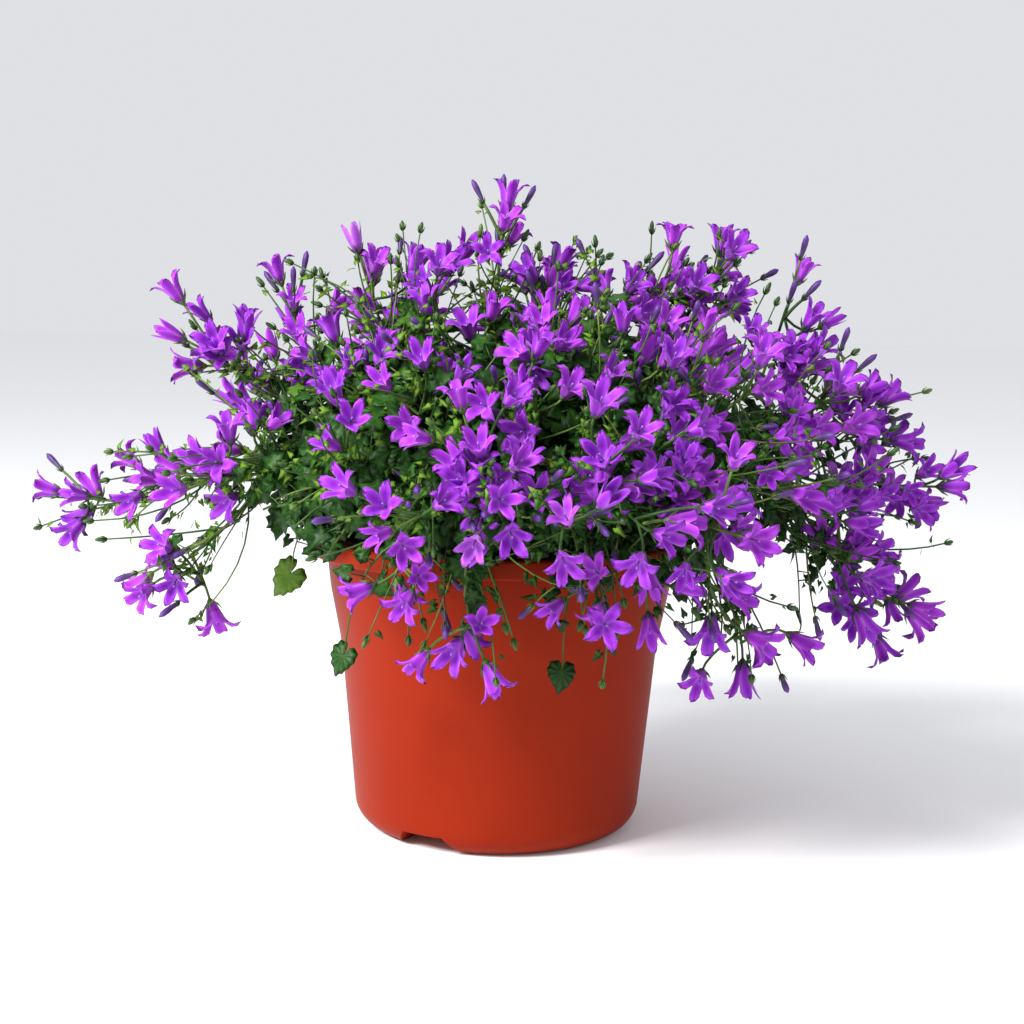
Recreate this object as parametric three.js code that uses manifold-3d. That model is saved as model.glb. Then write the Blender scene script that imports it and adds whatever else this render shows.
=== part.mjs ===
// A potted bellflower: a low mound of lax leafy shoots, covered with violet bells, in a round plastic
// nursery pot. Millimetres, +Z up. The origin is on the floor under the middle of the pot, and the
// plant's front faces -Y.

import * as THREE from 'three';
import { mergeVertices } from 'three/addons/utils/BufferGeometryUtils.js';
import Module from 'manifold-3d';

const wasm = await Module();
wasm.setup();

// Pot: a 13 cm nursery pot, 10 cm high, with a rolled lip, a collar that tapers into the straight
// wall, a foot ring round a raised floor, and one drainage channel under the base.
const FACETS = 24;
const WALL = 1.6;
const POT_HEIGHT = 100;
const LIP_RADIUS = 65;
const LIP_HEIGHT = 6.5;
const LIP_BEVEL = 1.2;
const COLLAR_TOP_RADIUS = 58.9;
const COLLAR_LOW_RADIUS = 57.7;
const COLLAR_LOW_Z = 82;
const SHOULDER_RADIUS = 54.1;
const SHOULDER_Z = 64;
const BASE_RADIUS = 48.9;
const CORNER_ROUNDING = 8.8;
const FOOT_INNER_RADIUS = 35;
const FLOOR_RADIUS = 33;
const FLOOR_Z = 5;
const CHANNEL_AZIMUTH = -120;
const CHANNEL_HEIGHT = 6;
const CHANNEL_LOW_HALF_WIDTH = 12;
const CHANNEL_TOP_HALF_WIDTH = 7.5;
const DRAIN_HOLE_RADIUS = 4;
const DRAIN_RING_RADIUS = 24;
const DRAIN_SPREAD = 35;

// Potting soil, and the holes in it that the shoots stand in.
const GAP = 0.35;
const SOIL_TOP_Z = 88;
const SOIL_RELIEF = 1.1;
const STUB_RADIUS = 5.2;
const STUB_SIDES = 6;
const STUB_FOOT_Z = 74;
const STUB_TOP_Z = 104;

// The leafy heart of each shoot, an egg of crowded young growth that leaves and stems stand out of.
const HEART_RING_RADIUS = 40;
const HEART_Z = 122;
const HEART_RADIAL = 24;
const HEART_TANGENTIAL = 17;
const HEART_VERTICAL = 29;

// Sizes of the growth.
const STEM_RADIUS = 1.15;
const LONG_STEM = 75;
const BELL_LENGTH = 12.5;
const BELL_RADIUS = 7.8;
const BELL_REACH = 8.5;
const BELL_BALL_AT = 8.6;
const BELL_SPACING = 14;
const CUP_ROOM = 6.8;
const LEAST_STALK = 5;
const STRAIGHTNESS = 0.55;
const SPRAY_STALK = 15;
const THROAT_DEPTH = 7.5;
const NOTCH_AT = 7.8;
const NOTCH_RADIUS = 4.5;
const CALYX_RADIUS = 1.8;
const BUD_RADIUS = 1.8;
const BUD_LENGTH = 17;
const BUD_LENGTH_SPREAD = 12;
const LEAF_THICKNESS = 1.3;
const LEAF_REACH = 1.06;

// Room that growth keeps to its neighbours, as radii of balls set along it at a regular step.
const BALL_STEP = 3;
const STEM_ROOM = 2.2;
const STALK_ROOM = 1.5;
const BUD_ROOM = 2.2;
const BUD_BALL = 2;
const LEAF_STALK_ROOM = 1.2;
const POT_ROOM = 0.6;
const POT_INNER_ROOM = 3;
const SOIL_ROOM = 2;
const LEAF_CROWDING = 0.72;

// How the draws are made: seeds, the tries at each place, and the numbers of leaves.
const SPRAY_SEED = 7301;
const SPRAY_SEED_STEP = 13;
const SHOOT_SEED = 300;
const SHOOT_SEED_STEP = 17;
const BELL_TRIES = 200;
const BUD_TRIES = 20;
const HEART_LEAF_TRIES = 40;
const STEM_LEAF_TRIES = 30;
const HEART_LEAVES = [5, 9, 9, 6, 8, 5];
const STEM_LEAF_EVERY = 58;

// The toothed outline of half a kidney-shaped leaf, from its tip round to the notch at its stalk:
// the angle from the tip in degrees, and the reach as a share of the leaf's half width.
const LEAF_EDGE = [[0, LEAF_REACH], [36, 0.84], [76, 1.05], [128, 1], [174, 0.5]];

// The shoots, anticlockwise from the right, each filling a sixth of the round.
const SHOOTS = ['right', 'back_right', 'back_left', 'left', 'front_left', 'front_right'];
const SECTOR = 360 / SHOOTS.length;

// The flower sprays: middle of the cluster, bells, buds, and for some a single bell that stands
// further out, as an offset from that middle.
const SPRAYS = [
  { at: [-140, -10, 110], bells: 4, buds: 1, lone: [-16, 0, 4] },
  { at: [-118, -20, 121], bells: 4 },
  { at: [-112, -35, 88], bells: 5, buds: 1, lone: [21, 0, -16] },
  { at: [-98, -45, 127], bells: 5 },
  { at: [-84, -35, 138], bells: 4 },
  { at: [-52, -80, 139], bells: 3 },
  { at: [-96, 5, 166], bells: 7, buds: 1, lone: [-15, 0, -12] },
  { at: [-75, 15, 172], bells: 4, buds: 3, lone: [-5, 0, 19] },
  { at: [-50, -36, 161], bells: 7 },
  { at: [-48, 15, 184], bells: 3, buds: 1, lone: [-5, 0, 18] },
  { at: [-26, 10, 187], bells: 4 },
  { at: [-27, -56, 158], bells: 4, lone: [-2, -22, -16] },
  { at: [-3, 5, 198], bells: 3, buds: 3, lone: [4, 0, 19] },
  { at: [16, 5, 189], bells: 6, buds: 1 },
  { at: [-12, -30, 172], bells: 3 },
  { at: [13, -36, 175], bells: 4 },
  { at: [7, -72, 154], bells: 6 },
  { at: [32, -55, 161], bells: 4 },
  { at: [-7, -104, 140], bells: 6 },
  { at: [-2, -112, 124], bells: 4 },
  { at: [18, -118, 120], bells: 3 },
  { at: [-29, -108, 119], bells: 4, lone: [15, -4, 6] },
  { at: [29, -100, 138], bells: 5 },
  { at: [41, -108, 124], bells: 4 },
  { at: [-27, -88, 92], bells: 3, lone: [-18, 2, 0] },
  { at: [-11, -87, 78], bells: 4, lone: [11, 0, -13] },
  { at: [28, -87, 85], bells: 3 },
  { at: [37, 5, 185], bells: 5, buds: 1 },
  { at: [54, 5, 189], bells: 4 },
  { at: [72, 10, 191], bells: 8, buds: 2 },
  { at: [54, -56, 159], bells: 8 },
  { at: [47, -90, 143], bells: 3 },
  { at: [74, -60, 157], bells: 4 },
  { at: [95, -5, 166], bells: 5, buds: 3, lone: [5, 0, 28] },
  { at: [113, -10, 154], bells: 6, buds: 2 },
  { at: [130, 5, 140], bells: 5, buds: 1 },
  { at: [88, -66, 132], bells: 5 },
  { at: [61, -99, 120], bells: 9 },
  { at: [140, 0, 122], bells: 5, lone: [18, 0, -4] },
  { at: [108, -46, 118], bells: 3 },
  { at: [120, -30, 98], bells: 7 },
  { at: [134, -15, 75], bells: 5 },
  { at: [45, -89, 98], bells: 4 },
  { at: [66, -82, 92], bells: 4 },
  { at: [77, -66, 72], bells: 3, lone: [-2, 0, -11] },
  { at: [-88, 50, 148], bells: 7 },
  { at: [-40, 58, 172], bells: 7 },
  { at: [16, 52, 178], bells: 7 },
  { at: [70, 58, 164], bells: 7 },
  { at: [-58, 92, 122], bells: 7 },
  { at: [6, 115, 124], bells: 8 },
  { at: [68, 92, 118], bells: 7 },
];

// Large leaves that hang over the rim, each on the stem of a spray, given by its place in the list.
const RIM_LEAVES = [
  { spray: 2, along: 0.35, at: [-74, -12, 84], size: 8.5 },
  { spray: 24, along: 0.86, at: [-47, -76, 72], size: 6 },
  { spray: 25, along: 0.8, at: [-10, -77, 101], size: 7.5 },
  { spray: 26, along: 0.85, at: [19, -76, 68], size: 5.5 },
  { spray: 40, along: 0.75, at: [100, -20, 76], size: 5.5 },
];

const COLOURS = {
  pot: 0xb94a27,
  soil: 0x2e2118,
  foliage: 0x4a6a2c,
  petals: 0x8a3ab4,
};

const MATERIALS = {
  pot: new THREE.MeshStandardMaterial({ color: COLOURS.pot, roughness: 0.42, metalness: 0 }),
  soil: new THREE.MeshStandardMaterial({ color: COLOURS.soil, roughness: 0.95, metalness: 0 }),
  foliage: new THREE.MeshStandardMaterial({ color: COLOURS.foliage, roughness: 0.6, metalness: 0 }),
  petals: new THREE.MeshStandardMaterial({ color: COLOURS.petals, roughness: 0.55, metalness: 0 }),
};

const UP = new THREE.Vector3(0, 0, 1);
const vector = (x, y, z) => new THREE.Vector3(x, y, z);
const radians = THREE.MathUtils.degToRad;
const along = (from, direction, distance) => from.clone().addScaledVector(direction, distance);

// Draws between 0 and 1 that are the same on every run.
function seededDraws(seed) {
  let state = seed;
  return () => {
    state = (Math.imul(state, 1664525) + 1013904223) >>> 0;
    return state / 4294967296;
  };
}

// A direction drawn evenly over the sphere.
function drawDirection(draw) {
  const azimuth = 2 * Math.PI * draw();
  const height = 2 * draw() - 1;
  const level = Math.sqrt(1 - height * height);
  return vector(level * Math.cos(azimuth), level * Math.sin(azimuth), height);
}

// Turns closed geometry into a solid: its seams are merged and the empty triangles at poles dropped.
function solidOf(geometry) {
  const bare = new THREE.BufferGeometry();
  bare.setAttribute('position', geometry.getAttribute('position'));
  bare.setIndex(geometry.getIndex());
  const merged = mergeVertices(bare, 1e-4);
  const index = merged.getIndex().array;
  const kept = [];
  for (let i = 0; i < index.length; i += 3) {
    const [a, b, c] = [index[i], index[i + 1], index[i + 2]];
    if (a !== b && b !== c && c !== a) kept.push(a, b, c);
  }
  const mesh = new wasm.Mesh({
    numProp: 3,
    vertProperties: Float32Array.from(merged.getAttribute('position').array),
    triVerts: Uint32Array.from(kept),
  });
  return new wasm.Manifold(mesh);
}

function fuse(solids) {
  return solids.reduce((whole, next) => whole.add(next));
}

function geometryOf(solid) {
  const mesh = solid.getMesh();
  const geometry = new THREE.BufferGeometry();
  geometry.setAttribute('position', new THREE.BufferAttribute(mesh.vertProperties, mesh.numProp));
  geometry.setIndex(new THREE.BufferAttribute(mesh.triVerts, 1));
  return geometry;
}

function namedMesh(name, solid, material) {
  const mesh = new THREE.Mesh(geometryOf(solid), material);
  mesh.name = name;
  return mesh;
}

// A turned solid from a half outline of [radius, height] pairs, that starts and ends on the axis or
// closes on itself.
function turned(outline) {
  const points = outline.map(([radius, height]) => new THREE.Vector2(radius, height));
  return new THREE.LatheGeometry(points, FACETS).rotateX(Math.PI / 2);
}

// The points of a quarter round about a middle, from one angle in degrees to another.
function roundPoints([radius, height], size, from, to, steps) {
  return Array.from({ length: steps + 1 }, (_, i) => {
    const angle = radians(from + ((to - from) * i) / steps);
    return [radius + size * Math.cos(angle), height + size * Math.sin(angle)];
  });
}

// A frame whose z runs along a direction, with x and y across it and turned about it by a spin.
function frameAlong(direction, spin) {
  const reference = Math.abs(direction.z) < 0.9 ? UP : vector(1, 0, 0);
  const side = reference.clone().cross(direction).normalize();
  const other = direction.clone().cross(side);
  const x = side.clone().multiplyScalar(Math.cos(spin)).addScaledVector(other, Math.sin(spin));
  return { x, y: direction.clone().cross(x), z: direction };
}

// A closed body from a first point, through rings of points, to a last point. Rings run
// anticlockwise as seen from the last point, and two rings with unlike counts are zipped together.
function closedBody(first, rings, last) {
  const points = [first, ...rings.flat(), last];
  const faces = [];
  let start = 1;
  rings.forEach((ring, place) => {
    const next = rings[place + 1];
    for (let i = 0; i < ring.length; i += 1) {
      const other = start + ((i + 1) % ring.length);
      if (place === 0) faces.push(0, other, start + i);
      if (!next) faces.push(start + i, other, points.length - 1);
    }
    if (next) zipRings(faces, start, ring.length, start + ring.length, next.length);
    start += ring.length;
  });
  const geometry = new THREE.BufferGeometry().setFromPoints(points);
  geometry.setIndex(faces);
  return geometry;
}

function zipRings(faces, lowStart, lowCount, highStart, highCount) {
  let low = 0;
  let high = 0;
  while (low < lowCount || high < highCount) {
    const here = lowStart + (low % lowCount);
    const there = highStart + (high % highCount);
    if ((low + 1) * highCount <= (high + 1) * lowCount) {
      low += 1;
      faces.push(here, lowStart + (low % lowCount), there);
    } else {
      high += 1;
      faces.push(here, highStart + (high % highCount), there);
    }
  }
}

// Points of a regular ring about a middle, in the plane of the frame's x and y.
function ringPoints(middle, frame, radius, count, turn = 0) {
  return Array.from({ length: count }, (_, i) => {
    const angle = turn + (2 * Math.PI * i) / count;
    return along(along(middle, frame.x, radius * Math.cos(angle)), frame.y, radius * Math.sin(angle));
  });
}

// Half outline of the wall from the shoulder up, with the collar and the lip.
function lipAndWall() {
  const lipFoot = POT_HEIGHT - LIP_HEIGHT;
  return [
    [SHOULDER_RADIUS, SHOULDER_Z],
    [COLLAR_LOW_RADIUS, COLLAR_LOW_Z],
    [COLLAR_TOP_RADIUS, lipFoot],
    [LIP_RADIUS, lipFoot],
    [LIP_RADIUS, POT_HEIGHT - LIP_BEVEL],
    [LIP_RADIUS - LIP_BEVEL, POT_HEIGHT],
  ];
}

function outerOutline() {
  const corner = [BASE_RADIUS - CORNER_ROUNDING, CORNER_ROUNDING];
  return [...roundPoints(corner, CORNER_ROUNDING, -90, 0, 3), ...lipAndWall()];
}

// The inside of the wall, from the floor's middle up to the height given.
function innerOutline(gap) {
  const inset = WALL + gap;
  const corner = [BASE_RADIUS - CORNER_ROUNDING, CORNER_ROUNDING];
  return [
    [0, FLOOR_Z + inset],
    [FLOOR_RADIUS - inset, FLOOR_Z + inset],
    [FOOT_INNER_RADIUS - inset, inset],
    ...roundPoints(corner, CORNER_ROUNDING - inset, -90, 0, 2),
    [SHOULDER_RADIUS - inset, SHOULDER_Z],
    [COLLAR_LOW_RADIUS - inset, COLLAR_LOW_Z],
  ];
}

// A bar of trapezoid section that runs across the base, for the channel and for the wall over it.
function channelBar(margin, foot) {
  const low = CHANNEL_LOW_HALF_WIDTH + margin;
  const top = CHANNEL_TOP_HALF_WIDTH + margin;
  const height = CHANNEL_HEIGHT + margin;
  const knee = Math.min(foot + 1, 0.5);
  const section = new THREE.Shape([
    new THREE.Vector2(-low, foot),
    new THREE.Vector2(low, foot),
    new THREE.Vector2(low, knee),
    new THREE.Vector2(top, height),
    new THREE.Vector2(-top, height),
    new THREE.Vector2(-low, knee),
  ]);
  const length = 2 * LIP_RADIUS;
  const bar = new THREE.ExtrudeGeometry(section, { depth: length, bevelEnabled: false });
  bar.translate(0, 0, -length / 2);
  bar.rotateX(Math.PI / 2);
  bar.rotateZ(radians(CHANNEL_AZIMUTH - 90));
  return solidOf(bar);
}

function drainHole(azimuth) {
  const hole = new THREE.CylinderGeometry(DRAIN_HOLE_RADIUS, DRAIN_HOLE_RADIUS, 4 * WALL, 10);
  hole.rotateX(Math.PI / 2);
  const angle = radians(azimuth);
  hole.translate(DRAIN_RING_RADIUS * Math.cos(angle), DRAIN_RING_RADIUS * Math.sin(angle), FLOOR_Z);
  return solidOf(hole);
}

function makePot() {
  const outer = outerOutline();
  const inner = innerOutline(0);
  const mouth = [[COLLAR_TOP_RADIUS - WALL, POT_HEIGHT]];
  const under = [[FOOT_INNER_RADIUS, 0], [FLOOR_RADIUS, FLOOR_Z], [0, FLOOR_Z]];
  const shell = solidOf(turned([...under.reverse(), ...outer, ...mouth, ...inner.reverse()]));
  const envelope = solidOf(turned([[0, 0], ...outer, [0, POT_HEIGHT]]));
  const roof = channelBar(WALL, 0).intersect(envelope);
  const across = CHANNEL_AZIMUTH + 90;
  const holes = [across, across + 180].flatMap((side) => [side - DRAIN_SPREAD, side + DRAIN_SPREAD]);
  const closed = shell.add(roof).subtract(channelBar(0, -1));
  return holes.reduce((pot, azimuth) => pot.subtract(drainHole(azimuth)), closed);
}

// Gentle heaps in the soil's surface.
function soilHeap(x, y) {
  return SOIL_RELIEF * Math.sin(0.17 * x + 1) * Math.cos(0.15 * y + 0.4);
}

function makeSoil() {
  const wall = innerOutline(GAP);
  const edge = COLLAR_LOW_RADIUS - WALL - GAP + 0.3;
  const top = [[edge, SOIL_TOP_Z - 1], [32, SOIL_TOP_Z], [0, SOIL_TOP_Z]];
  const geometry = turned([...wall, ...top]);
  const position = geometry.getAttribute('position');
  for (let i = 0; i < position.count; i += 1) {
    if (position.getZ(i) > SOIL_TOP_Z - 0.5) {
      position.setZ(i, position.getZ(i) + soilHeap(position.getX(i), position.getY(i)));
    }
  }
  const filled = solidOf(geometry).subtract(channelBar(WALL + GAP, -1));
  return SHOOTS.reduce((soil, _, place) => soil.subtract(stub(place, GAP)), filled);
}

// The direction from the pot's axis, in degrees, in which a shoot stands.
function shootAzimuth(place) {
  return place * SECTOR;
}

function shootOf(point) {
  const azimuth = (Math.atan2(point.y, point.x) * 180) / Math.PI + SECTOR / 2;
  return Math.floor(((azimuth + 360) % 360) / SECTOR);
}

function heartMiddle(place) {
  const angle = radians(shootAzimuth(place));
  return vector(HEART_RING_RADIUS * Math.cos(angle), HEART_RING_RADIUS * Math.sin(angle), HEART_Z);
}

// How far out a point lies in a shoot's heart when the egg is grown by a margin; 1 is on its skin.
function heartDepth(point, place, margin) {
  const angle = radians(shootAzimuth(place));
  const offset = point.clone().sub(heartMiddle(place));
  const radial = offset.x * Math.cos(angle) + offset.y * Math.sin(angle);
  const tangential = offset.y * Math.cos(angle) - offset.x * Math.sin(angle);
  const a = radial / (HEART_RADIAL + margin);
  const b = tangential / (HEART_TANGENTIAL + margin);
  const c = offset.z / (HEART_VERTICAL + margin);
  return Math.sqrt(a * a + b * b + c * c);
}

// The point on a heart's skin that lies in a direction from its middle.
function heartSkin(place, direction, share) {
  const middle = heartMiddle(place);
  const reach = heartDepth(middle.clone().add(direction), place, 0);
  return along(middle, direction, share / reach);
}

// What has grown so far, as balls of a middle, a radius and an owner.
const grown = [];

function isClear(point, radius, owner) {
  return grown.every((ball) => {
    if (ball.owner === owner) return true;
    const x = ball.x - point.x;
    const y = ball.y - point.y;
    const z = ball.z - point.z;
    const reach = ball.radius + radius;
    return x * x + y * y + z * z >= reach * reach;
  });
}

// Whether a ball keeps off the pot and the soil.
function missesPot(point, radius) {
  const out = Math.sqrt(point.x * point.x + point.y * point.y);
  const above = point.z - radius > POT_HEIGHT + POT_ROOM;
  const outside = out - radius > LIP_RADIUS + POT_ROOM;
  const inside = out + radius < COLLAR_LOW_RADIUS - POT_INNER_ROOM
    && point.z - radius > SOIL_TOP_Z + SOIL_ROOM;
  return above || outside || inside;
}

function missesHearts(point, radius, ownPlace) {
  return SHOOTS.every((_, place) => place === ownPlace || heartDepth(point, place, radius) > 1);
}

function grow(point, radius, owner) {
  grown.push({ x: point.x, y: point.y, z: point.z, radius, owner });
}

// The first of a number of draws that fits, or nothing.
function firstFit(tries, drawOne, fits) {
  for (let attempt = 0; attempt < tries; attempt += 1) {
    const drawn = drawOne(attempt);
    if (fits(drawn)) return drawn;
  }
  return undefined;
}

// Points at even steps between two ends.
function pointsBetween(from, to) {
  const count = Math.max(1, Math.ceil(from.distanceTo(to) / BALL_STEP));
  return Array.from({ length: count + 1 }, (_, i) => from.clone().lerp(to, i / count));
}

// The way a stem grows where its spray begins: out and up at the top of the mound, out and down
// where it hangs over the rim, and the steeper the closer it hangs to the pot.
function sprayDirection(at) {
  const level = vector(at.x, at.y, 0);
  const room = THREE.MathUtils.clamp((level.length() - LIP_RADIUS) / 60, 0.35, 1);
  const lift = THREE.MathUtils.clamp((at.z - 115) / (60 * room), -1, 1);
  level.multiplyScalar(1 / Math.max(level.length(), 90));
  const lean = lift > 0 ? 1 - 0.35 * lift : 1 + 0.6 * lift;
  const climb = lift > 0 ? 0.15 + 0.75 * lift : 0.15 + 1.05 * lift;
  return level.multiplyScalar(lean).addScaledVector(UP, climb).normalize();
}

function planSpray(spec, number) {
  const at = vector(...spec.at);
  const place = shootOf(at);
  const direction = sprayDirection(at);
  const end = along(at, direction, -SPRAY_STALK);
  const aim = end.clone().sub(heartMiddle(place));
  aim.z = Math.max(aim.z, 0.35 * Math.sqrt(aim.x * aim.x + aim.y * aim.y));
  aim.normalize();
  const start = heartSkin(place, aim, 0.7);
  const span = start.distanceTo(end);
  const stem = new THREE.CubicBezierCurve3(
    start, along(start, aim, 0.4 * span), along(end, direction, -0.35 * span), end);
  const steps = span > LONG_STEM ? 4 : 3;
  const line = Array.from({ length: steps + 1 }, (_, i) => stem.getPoint(i / steps));
  const foot = along(end, direction, GAP);
  const owner = `flower_spray_${String(number + 1).padStart(2, '0')}`;
  return { ...spec, at, place, direction, stem, line, span, foot, owner, flowers: [], budding: [] };
}

// The point at a share of the way along a spray's stem, counted in its straight stretches.
function onStem(spray, share) {
  const reach = share * (spray.line.length - 1);
  const step = Math.min(Math.floor(reach), spray.line.length - 2);
  return spray.line[step].clone().lerp(spray.line[step + 1], reach - step);
}

function shootOwner(place) {
  return `leafy_shoot_${SHOOTS[place]}`;
}

// A bell is kept as the middle of its cup, the way it faces, its turn and its size, the foot of its
// cup, and the root of its stalk. The first bell of a spray is its lead: that stalk stands on the
// end of the stem, and the stalks of the others spring from it.
function bellAt(middle, facing, spin, size) {
  return { middle, facing, spin, size, foot: along(middle, facing, -BELL_BALL_AT * size) };
}

function rootBell(bell, spray, seat) {
  const lead = spray.flowers[0];
  return { ...bell, root: lead ? lead.root.clone().lerp(lead.foot, seat) : spray.foot };
}

function growBell(bell, owner) {
  grow(bell.middle, BELL_REACH * bell.size, owner);
  pointsBetween(bell.root, bell.foot).forEach((point) => grow(point, STALK_ROOM, owner));
}

function bellFits(bell, siblings, owner) {
  const reach = BELL_REACH * bell.size;
  const stalk = bell.foot.clone().sub(bell.root);
  return stalk.length() >= LEAST_STALK
    && stalk.dot(bell.facing) >= STRAIGHTNESS * stalk.length()
    && isClear(bell.middle, reach, owner)
    && missesPot(bell.middle, reach)
    && missesHearts(bell.middle, reach, -1)
    && siblings.every((other) => areApart(bell, other))
    && stalkPoints(bell, siblings).every((point) => isClear(point, STALK_ROOM, owner));
}

// Whether two bells of one spray keep their cups apart, and each its stalk out of the other's cup.
function areApart(bell, other) {
  return other.middle.distanceTo(bell.middle) >= BELL_SPACING
    && pointsBetween(bell.root, bell.foot).every((point) => point.distanceTo(other.middle) >= CUP_ROOM)
    && pointsBetween(other.root, other.foot).every((point) => point.distanceTo(bell.middle) >= CUP_ROOM);
}

// Where a bell's stalk must be clear. The lead's stalk starts at the end of its own stem.
function stalkPoints(bell, siblings) {
  return pointsBetween(bell.root, bell.foot).slice(siblings.length > 0 ? 0 : 2);
}

// The side that a spray turns to the light: outwards from the pot's axis, and up.
function lightFrom(at) {
  return vector(0, at.y > 40 ? 0.35 : -0.4, 0.2);
}

function drawBell(spray, draw, spread) {
  const offset = drawDirection(draw);
  const share = 0.45 + 0.55 * draw();
  const jitter = drawDirection(draw).multiplyScalar(0.35);
  const size = 0.9 + 0.16 * draw();
  const spin = 2 * Math.PI * draw();
  const seat = 0.25 + 0.45 * draw();
  if (offset.dot(spray.direction) < -0.3) offset.negate();
  const middle = along(along(spray.at, spray.direction, -2), offset, spread * share);
  const facing = spray.direction.clone().multiplyScalar(0.45).addScaledVector(offset, 0.85)
    .add(lightFrom(spray.at)).add(jitter).normalize();
  return rootBell(bellAt(middle, facing, spin, size), spray, seat);
}

function fillSpray(spray, number) {
  const draw = seededDraws(SPRAY_SEED + SPRAY_SEED_STEP * number);
  for (let i = 0; i < spray.bells; i += 1) {
    const bell = firstFit(BELL_TRIES, (attempt) => drawBell(spray, draw, spreadAt(spray, attempt)),
      (drawn) => bellFits(drawn, spray.flowers, spray.owner));
    if (bell) {
      growBell(bell, spray.owner);
      spray.flowers.push(bell);
    }
  }
  for (let i = 0; i < (spray.buds ?? 0); i += 1) {
    const bud = firstFit(BUD_TRIES, () => drawBud(spray, draw), (drawn) => budFits(drawn, spray.owner));
    if (bud) {
      pointsBetween(bud.root, bud.tip).forEach((point) => grow(point, BUD_BALL, spray.owner));
      spray.budding.push(bud);
    }
  }
}

// How far from a spray's middle a bell may be drawn, which grows as the tries run out. The lead
// bell is first tried close to the middle.
function spreadAt(spray, attempt) {
  const late = attempt / BELL_TRIES;
  const wide = 7.5 + 2.3 * Math.sqrt(spray.bells) + 15 * late;
  return spray.flowers.length > 0 ? wide : (0.35 + 0.65 * late) * wide;
}

function budFits(bud, owner) {
  return pointsBetween(bud.root, bud.tip).every((point) => isClear(point, BUD_ROOM, owner));
}

function drawBud(spray, draw) {
  const way = drawDirection(draw).multiplyScalar(0.75).add(spray.direction)
    .addScaledVector(UP, 0.5).normalize();
  const length = BUD_LENGTH + BUD_LENGTH_SPREAD * draw();
  const lead = spray.flowers[0];
  const root = lead.root.clone().lerp(lead.foot, 0.3 + 0.4 * draw());
  return { root, way, tip: along(root, way, length) };
}

function loneBell(spray) {
  const offset = vector(...spray.lone);
  const facing = offset.clone().normalize().addScaledVector(lightFrom(spray.at), 0.5)
    .addScaledVector(spray.direction, 0.6).normalize();
  return rootBell(bellAt(spray.at.clone().add(offset), facing, 0.4, 1), spray, 0);
}

// A leaf is kept as the foot of its stalk, the middle of its blade, the way its tip points, the way
// its upper face looks and its half width.
function leafFits(leaf, siblings, place) {
  const owner = shootOwner(place);
  const reach = leaf.size * LEAF_REACH;
  return isClear(leaf.middle, reach, owner)
    && missesPot(leaf.middle, reach)
    && missesHearts(leaf.middle, reach, place)
    && siblings.every((other) => {
      const apart = LEAF_CROWDING * (other.size + leaf.size);
      return other.middle.distanceTo(leaf.middle) >= apart;
    })
    && pointsBetween(leaf.root, leaf.middle)
      .every((point) => isClear(point, LEAF_STALK_ROOM, owner) && missesPot(point, 1));
}

function keepLeaf(leaf, shoot) {
  shoot.leaves.push(leaf);
  grow(leaf.middle, leaf.size * LEAF_REACH, shoot.owner);
  pointsBetween(leaf.root, leaf.middle).forEach((point) => grow(point, LEAF_STALK_ROOM, shoot.owner));
}

function leafAt(root, middle, face, size) {
  const stalk = middle.clone().sub(root);
  const way = stalk.addScaledVector(face, -stalk.dot(face)).normalize();
  return { root, middle, face, way, size };
}

// Leaves crowded on the heart of a shoot, their faces turned out and up.
function drawHeartLeaf(shoot, draw) {
  const out = drawDirection(draw);
  const size = 6 + 2.6 * draw();
  const rise = size * 0.4 + 3 + 7 * draw();
  const jitter = drawDirection(draw).multiplyScalar(0.5);
  const skin = heartSkin(shoot.place, out, 1);
  const face = out.clone().addScaledVector(UP, 0.45).add(jitter).normalize();
  const drift = drawDirection(draw);
  drift.addScaledVector(out, -drift.dot(out)).normalize();
  const middle = along(along(skin, out, rise), drift, size * 0.7);
  return leafAt(heartSkin(shoot.place, out, 0.7), middle, face, size);
}

// Leaves along a stem, on alternate sides.
function drawStemLeaf(spray, draw) {
  const at = 0.12 + 0.8 * draw();
  const out = drawDirection(draw);
  const size = 5.2 + 2.4 * draw();
  const jitter = drawDirection(draw).multiplyScalar(0.4);
  const root = onStem(spray, at);
  const tangent = spray.stem.getTangent(at);
  out.addScaledVector(tangent, -out.dot(tangent) + 0.35).normalize();
  const middle = along(root, out, size * 0.9 + 2.5 + 5 * draw());
  const outward = middle.clone().sub(vector(0, 0, HEART_Z - 30)).normalize();
  const face = outward.addScaledVector(UP, 0.5).add(jitter).normalize();
  return leafAt(root, middle, face, size);
}

function fillShoot(shoot, sprays) {
  const draw = seededDraws(SHOOT_SEED + SHOOT_SEED_STEP * shoot.place);
  const addLeaf = (tries, drawOne) => {
    const leaf = firstFit(tries, drawOne, (drawn) => leafFits(drawn, shoot.leaves, shoot.place));
    if (leaf) keepLeaf(leaf, shoot);
  };
  for (let i = 0; i < HEART_LEAVES[shoot.place]; i += 1) {
    addLeaf(HEART_LEAF_TRIES, () => drawHeartLeaf(shoot, draw));
  }
  for (const spray of sprays.filter((one) => one.place === shoot.place)) {
    const count = Math.max(1, Math.round(spray.span / STEM_LEAF_EVERY));
    for (let i = 0; i < count; i += 1) {
      addLeaf(STEM_LEAF_TRIES, () => drawStemLeaf(spray, draw));
    }
  }
}

function hangRimLeaf(spec, sprays, shoots) {
  const spray = sprays[spec.spray];
  const middle = vector(...spec.at);
  const face = vector(middle.x, middle.y, 0).normalize().addScaledVector(UP, 0.35).normalize();
  keepLeaf(leafAt(onStem(spray, spec.along), middle, face, spec.size), shoots[spray.place]);
}

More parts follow.
